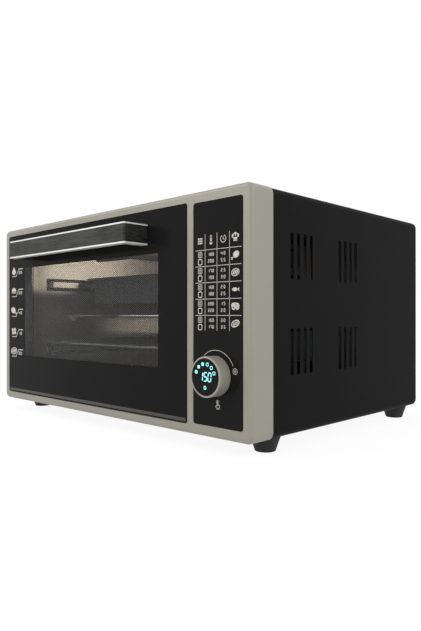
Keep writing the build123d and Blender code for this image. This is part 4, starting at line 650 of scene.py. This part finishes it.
# Table of dishes on the control panel
COLUMNS = (209.95, 228.55, 248.7, 268.0)
RULES_X = (218.5, 238.6, 258.8)
RULES_Z = (247.5, 227.5, 207.5, 187.5, 167.5)
TABLE_SIDES = (201.6, 277.4)
TABLE_HEIGHTS = (149.0, 267.0)
RULE_WIDTH = 0.65
HEAD_Z = 259.0
ROW_DROP = 10.0
HEADS = (grid_icon, thermometer, clock_icon, chef_hat)
DISHES = (drumstick, loaf, fish, steak, pasty)
HEATS = (("180", "200"), ("170", "190"), ("160", "180"), ("200", "220"), ("150", "170"))
TIMES = (("40", "55"), ("25", "30"), ("20", "25"), ("15", "20"), ("30", "35"))
LINE_RISES = (4.2, -3.8)
MODE_RISES = (4.6, -4.4)
DIAL_ARC_RADIUS = 31.0
table = []
for x in RULES_X:
    table += stroke([(x, z) for z in TABLE_HEIGHTS], RULE_WIDTH)
for z in RULES_Z:
    table += stroke([(x, z) for x in TABLE_SIDES], RULE_WIDTH)
for x, head in zip(COLUMNS, HEADS):
    table += shift(head(), x, HEAD_Z, 1.05)
for row, dish in enumerate(DISHES):
    z = RULES_Z[row] - ROW_DROP
    table += stroke(rounded(COLUMNS[0], z + MODE_RISES[0], 6.2, 6.6, 1.4), 0.8, closed=True)
    table += stroke(rounded(COLUMNS[0], z + MODE_RISES[0], 2.6, 3.0, 0.6), 0.7, closed=True)
    table += stroke(rounded(COLUMNS[0], z + MODE_RISES[1], 6.2, 6.6, 1.4), 1.1, closed=True)
    for line, rise in enumerate(LINE_RISES):
        table += number(HEATS[row][line], COLUMNS[1] - 0.2, z + rise, 3.4, 1.9, 0.8, 3.6)
        table += number(TIMES[row][line], COLUMNS[2] - 0.2, z + rise, 3.4, 1.9, 0.8, 4.6)
    table += shift(dish(), COLUMNS[3], z + 0.5, 1.15)
table += stroke(arc(DIAL_X, DIAL_Z, DIAL_ARC_RADIUS, 130, 25, 48), 0.62)
table += shift(start_icon(), DIAL_X + DIAL_ARC_RADIUS, DIAL_Z + 7.4)
table += shift(hand_icon(), PANEL_X + 0.5, 60.3)
print_piece("panel_print", table, PANEL_FRONT - PRINT_RISE, cream_print, "cabinet")

# Dishes and their shelf marks on the left margin of the door
MARGIN_X = -263.5
MARGIN_Z = (247.0, 211.0, 175.5, 139.3, 104.0)
MARGIN_DISHES = (pear, bun, drumstick, cluster, loaf)
MARGIN_TIMES = ("35", "20", "45", "15", "30")
MARK_PATH = ((-270.3, -9.7), (-255.5, -9.7), (-249.5, -2.0), (-246.5, 2.9))
MARK_END = (-231.0, 2.9)
margin = []
for z, dish, time in zip(MARGIN_Z, MARGIN_DISHES, MARGIN_TIMES):
    side = -2.0 if dish is drumstick else 2.0
    margin += shift(dish(), MARGIN_X, z, side, 1.55)
    margin += stroke([(x, z + rise) for x, rise in MARK_PATH], 1.2)
    margin += stroke([(x, z + rise) for x, rise in (MARK_PATH[-1], MARK_END)], 1.5)
    margin += number(time, -240.5, z - 3.4, 4.2, 4.0, 1.3, 6.8)
print_piece("door_margin_print", margin, GLASS_FRONT - 2 * PRINT_RISE, cream_print, "door")

# Lit figures on the round display
MODE_COUNT = 6
MODES_LIT = 3
MODE_RADIUS = 15.6
figures = number("150", DIAL_X + 0.6, DIAL_Z + 0.4, 10.2, 4.7, 1.4, 6.9, slant=0.1, gap=0.5)
for step in range(MODE_COUNT):
    angle = math.radians(160 - 28 * step)
    x, z = DIAL_X + MODE_RADIUS * math.cos(angle), DIAL_Z + MODE_RADIUS * math.sin(angle)
    if step < MODES_LIT:
        figures.append(rounded(x, z, 4.0, 4.0, 1.0))
    else:
        figures += stroke(rounded(x, z, 3.5, 3.5, 0.9), 0.85, closed=True)
figures += ring(DIAL_X, DIAL_Z - 12.6, 1.75, 1.0, 20)
print_piece("display_figures", figures, DIAL_FACE - PRINT_RISE, cyan_glow, "display")


# Black border print and dot screen on the door glass
def border_piece(name, outer, inner, y, finish, body):
    """Flat frame between two outlines with the same number of points."""
    corners = [(x * MM, y * MM, z * MM) for x, z in outer + inner]
    count = len(outer)
    faces = [(i, (i + 1) % count, count + (i + 1) % count, count + i) for i in range(count)]
    add_piece(name, corners, faces, finish, body)


def rectangle(sides, heights, radius):
    return rounded(
        sum(sides) / 2, sum(heights) / 2, sides[1] - sides[0], heights[1] - heights[0], radius, 6
    )


border_piece(
    "door_border_print",
    rectangle(GLASS_SIDES, GLASS_HEIGHTS, 3.0),
    rectangle(WINDOW_SIDES, WINDOW_HEIGHTS, 4.0),
    GLASS_FRONT - PRINT_RISE,
    black_print,
    "door",
)

DOT_PITCH = 3.0
DOT_RADIUS = 0.95
DOT_MARGIN = 1.0
ROW_RATIO = 0.866
dots = []
column, x = 0, WINDOW_SIDES[0] + DOT_PITCH / 2
while x < WINDOW_SIDES[1] - DOT_MARGIN:
    z = WINDOW_HEIGHTS[0] + DOT_PITCH * (0.5 + 0.5 * (column % 2))
    while z < WINDOW_HEIGHTS[1] - DOT_MARGIN:
        dots.append(ellipse(x, z, DOT_RADIUS, DOT_RADIUS, count=6))
        z += DOT_PITCH
    x += DOT_PITCH * ROW_RATIO
    column += 1
print_piece("window_dot_screen", dots, GLASS_FRONT - PRINT_RISE, dot_print, "door")


# Floor, background and light
def white_when_seen(tree, lit, white):
    """White for camera, mirror and glass rays, and the plain version for all other light."""
    path = tree.nodes.new("ShaderNodeLightPath").outputs
    seen = calc(tree, "MAXIMUM", path["Is Camera Ray"], path["Is Glossy Ray"])
    seen = calc(tree, "MAXIMUM", seen, path["Is Transmission Ray"])
    mix = tree.nodes.new("ShaderNodeMixShader")
    tree.links.new(seen, mix.inputs[0])
    tree.links.new(lit, mix.inputs[1])
    tree.links.new(white, mix.inputs[2])
    return mix.outputs[0]


FLOOR_CORNERS = [(-6, -6, 0), (6, -6, 0), (6, 6, 0), (-6, 6, 0)]
FLOOR_TONE = 0.85
FLOOR_GLOW = 0.90
SHADOW_TONE = 0.14
AMBIENT = 0.72
floor_mesh = bpy.data.meshes.new("floor")
floor_mesh.from_pydata(FLOOR_CORNERS, [], [(0, 1, 2, 3)])
floor = bpy.data.objects.new("floor", floor_mesh)
bpy.context.scene.collection.objects.link(floor)
floor_material = bpy.data.materials.new("floor_white")
floor_material.use_nodes = True
tree = floor_material.node_tree
tree.nodes.clear()
plain = tree.nodes.new("ShaderNodeBsdfDiffuse")
plain.inputs["Color"].default_value = (FLOOR_TONE, FLOOR_TONE, FLOOR_TONE, 1)
seen = tree.nodes.new("ShaderNodeEmission")
seen.inputs["Strength"].default_value = FLOOR_GLOW
blend = tree.nodes.new("ShaderNodeAddShader")
soft = tree.nodes.new("ShaderNodeBsdfDiffuse")
soft.inputs["Color"].default_value = (SHADOW_TONE, SHADOW_TONE, SHADOW_TONE, 1)
tree.links.new(seen.outputs[0], blend.inputs[0])
tree.links.new(soft.outputs[0], blend.inputs[1])
output = tree.nodes.new("ShaderNodeOutputMaterial")
tree.links.new(white_when_seen(tree, plain.outputs[0], blend.outputs[0]), output.inputs["Surface"])
floor_mesh.materials.append(floor_material)

world = bpy.data.worlds.new("studio")
bpy.context.scene.world = world
world.use_nodes = True
tree = world.node_tree
tree.nodes.clear()
ambient = tree.nodes.new("ShaderNodeBackground")
ambient.inputs["Color"].default_value = (1, 1, 1, 1)
ambient.inputs["Strength"].default_value = AMBIENT
backdrop = tree.nodes.new("ShaderNodeBackground")
backdrop.inputs["Color"].default_value = (1, 1, 1, 1)
backdrop.inputs["Strength"].default_value = 1.0
output = tree.nodes.new("ShaderNodeOutputWorld")
tree.links.new(white_when_seen(tree, ambient.outputs[0], backdrop.outputs[0]), output.inputs["Surface"])


LIGHT_TARGET = (0, 0, 0.15)
SOFTBOX_SIDE = 1.4
LAMP_TONE = (1.0, 0.91, 0.78)
WHITE = (1.0, 1.0, 1.0)
# Enough for light that passes both panes of the door and meets one surface
LAMP_BOUNCES = 4


def area_light(name, place, watts):
    light = bpy.data.lights.new(name, "AREA")
    light.shape = "RECTANGLE"
    light.size = light.size_y = SOFTBOX_SIDE
    light.energy = watts
    lamp = bpy.data.objects.new(name, light)
    bpy.context.scene.collection.objects.link(lamp)
    lamp.location = place
    lamp.rotation_euler = (Vector(LIGHT_TARGET) - Vector(place)).to_track_quat("-Z", "Y").to_euler()


def point_light(name, place, watts, size, tone):
    light = bpy.data.lights.new(name, "POINT")
    light.energy = watts
    light.color = tone
    light.shadow_soft_size = size
    light.cycles.max_bounces = LAMP_BOUNCES
    lamp = bpy.data.objects.new(name, light)
    bpy.context.scene.collection.objects.link(lamp)
    lamp.location = place
    lamp.visible_camera = False
    lamp.visible_transmission = False
    return lamp


def slopes(lamp):
    """The light's tree, and its slopes backward and upward on the way to the left wall."""
    lamp.data.use_nodes = True
    tree = lamp.data.node_tree
    sideways = calc(tree, "ABSOLUTE", local(tree, "Normal", "X"))
    backward = calc(tree, "DIVIDE", local(tree, "Normal", "Y"), sideways)
    upward = calc(tree, "DIVIDE", local(tree, "Normal", "Z"), sideways)
    rightward = calc(tree, "GREATER_THAN", local(tree, "Normal", "X"), 0.0)
    backward = calc(tree, "SUBTRACT", backward, calc(tree, "MULTIPLY", rightward, 2.0))
    return tree, backward, upward


def set_strength(tree, amounts):
    tree.links.new(every(tree, amounts), tree.nodes["Emission"].inputs["Strength"])


area_light("key_softbox", (-1.3, -1.7, 1.5), 18)
area_light("side_softbox", (1.9, -0.3, 1.3), 11)

# Light on the upper left wall of the cavity: cut off below, rising and then easing toward the rear
upper_lamp = point_light("cavity_lamp", (0.126, -0.06, 0.258), 2.1, 0.008, LAMP_TONE)
tree, backward, upward = slopes(upper_lamp)
set_strength(
    tree,
    [
        span(tree, upward, 0.0, 1.0, -0.135, -0.115),
        span(tree, backward, 0.6, 9.0, -0.25, 0.10),
        span(tree, backward, 1.0, 0.45, 0.20, 0.46),
        span(tree, backward, 1.0, 0.10, 0.53, 0.62),
    ],
)
# Light on a band of that wall between the spit and the rack, rising toward the rear
lower_lamp = point_light("cavity_fill", (0.126, 0.10, 0.145), 5.8, 0.006, LAMP_TONE)
tree, backward, upward = slopes(lower_lamp)
rise = span(tree, backward, 0.0, 1.0, -0.40, 0.0)
set_strength(
    tree,
    [
        span(tree, upward, 0.0, 1.0, -0.050, -0.028),
        span(tree, upward, 1.0, 0.0, 0.040, 0.055),
        rise,
        rise,
        span(tree, backward, 1.0, 0.0, 0.09, 0.14),
    ],
)
# Weak light behind the louvres
for name, place, watts in (
    ("case_fill", (0.21, 0.15, 0.19), 0.7),
    ("board_fill", (0.278, 0.03, 0.125), 0.09),
):
    point_light(name, place, watts, 0.02, WHITE).visible_glossy = False

# Camera at the photograph's place
CAMERA_LENS = 33.38
CAMERA_PLACE = (0.7213, -0.7059, 0.1674)
CAMERA_TURN = (90, 0, 44.03)
camera = bpy.data.cameras.new("camera")
camera.sensor_width = 36.0
camera.lens = CAMERA_LENS
viewer = bpy.data.objects.new("camera", camera)
bpy.context.scene.collection.objects.link(viewer)
viewer.location = CAMERA_PLACE
viewer.rotation_euler = [math.radians(angle) for angle in CAMERA_TURN]
camera.clip_start = 0.01
bpy.context.scene.camera = viewer

bpy.context.scene.view_settings.view_transform = "Standard"
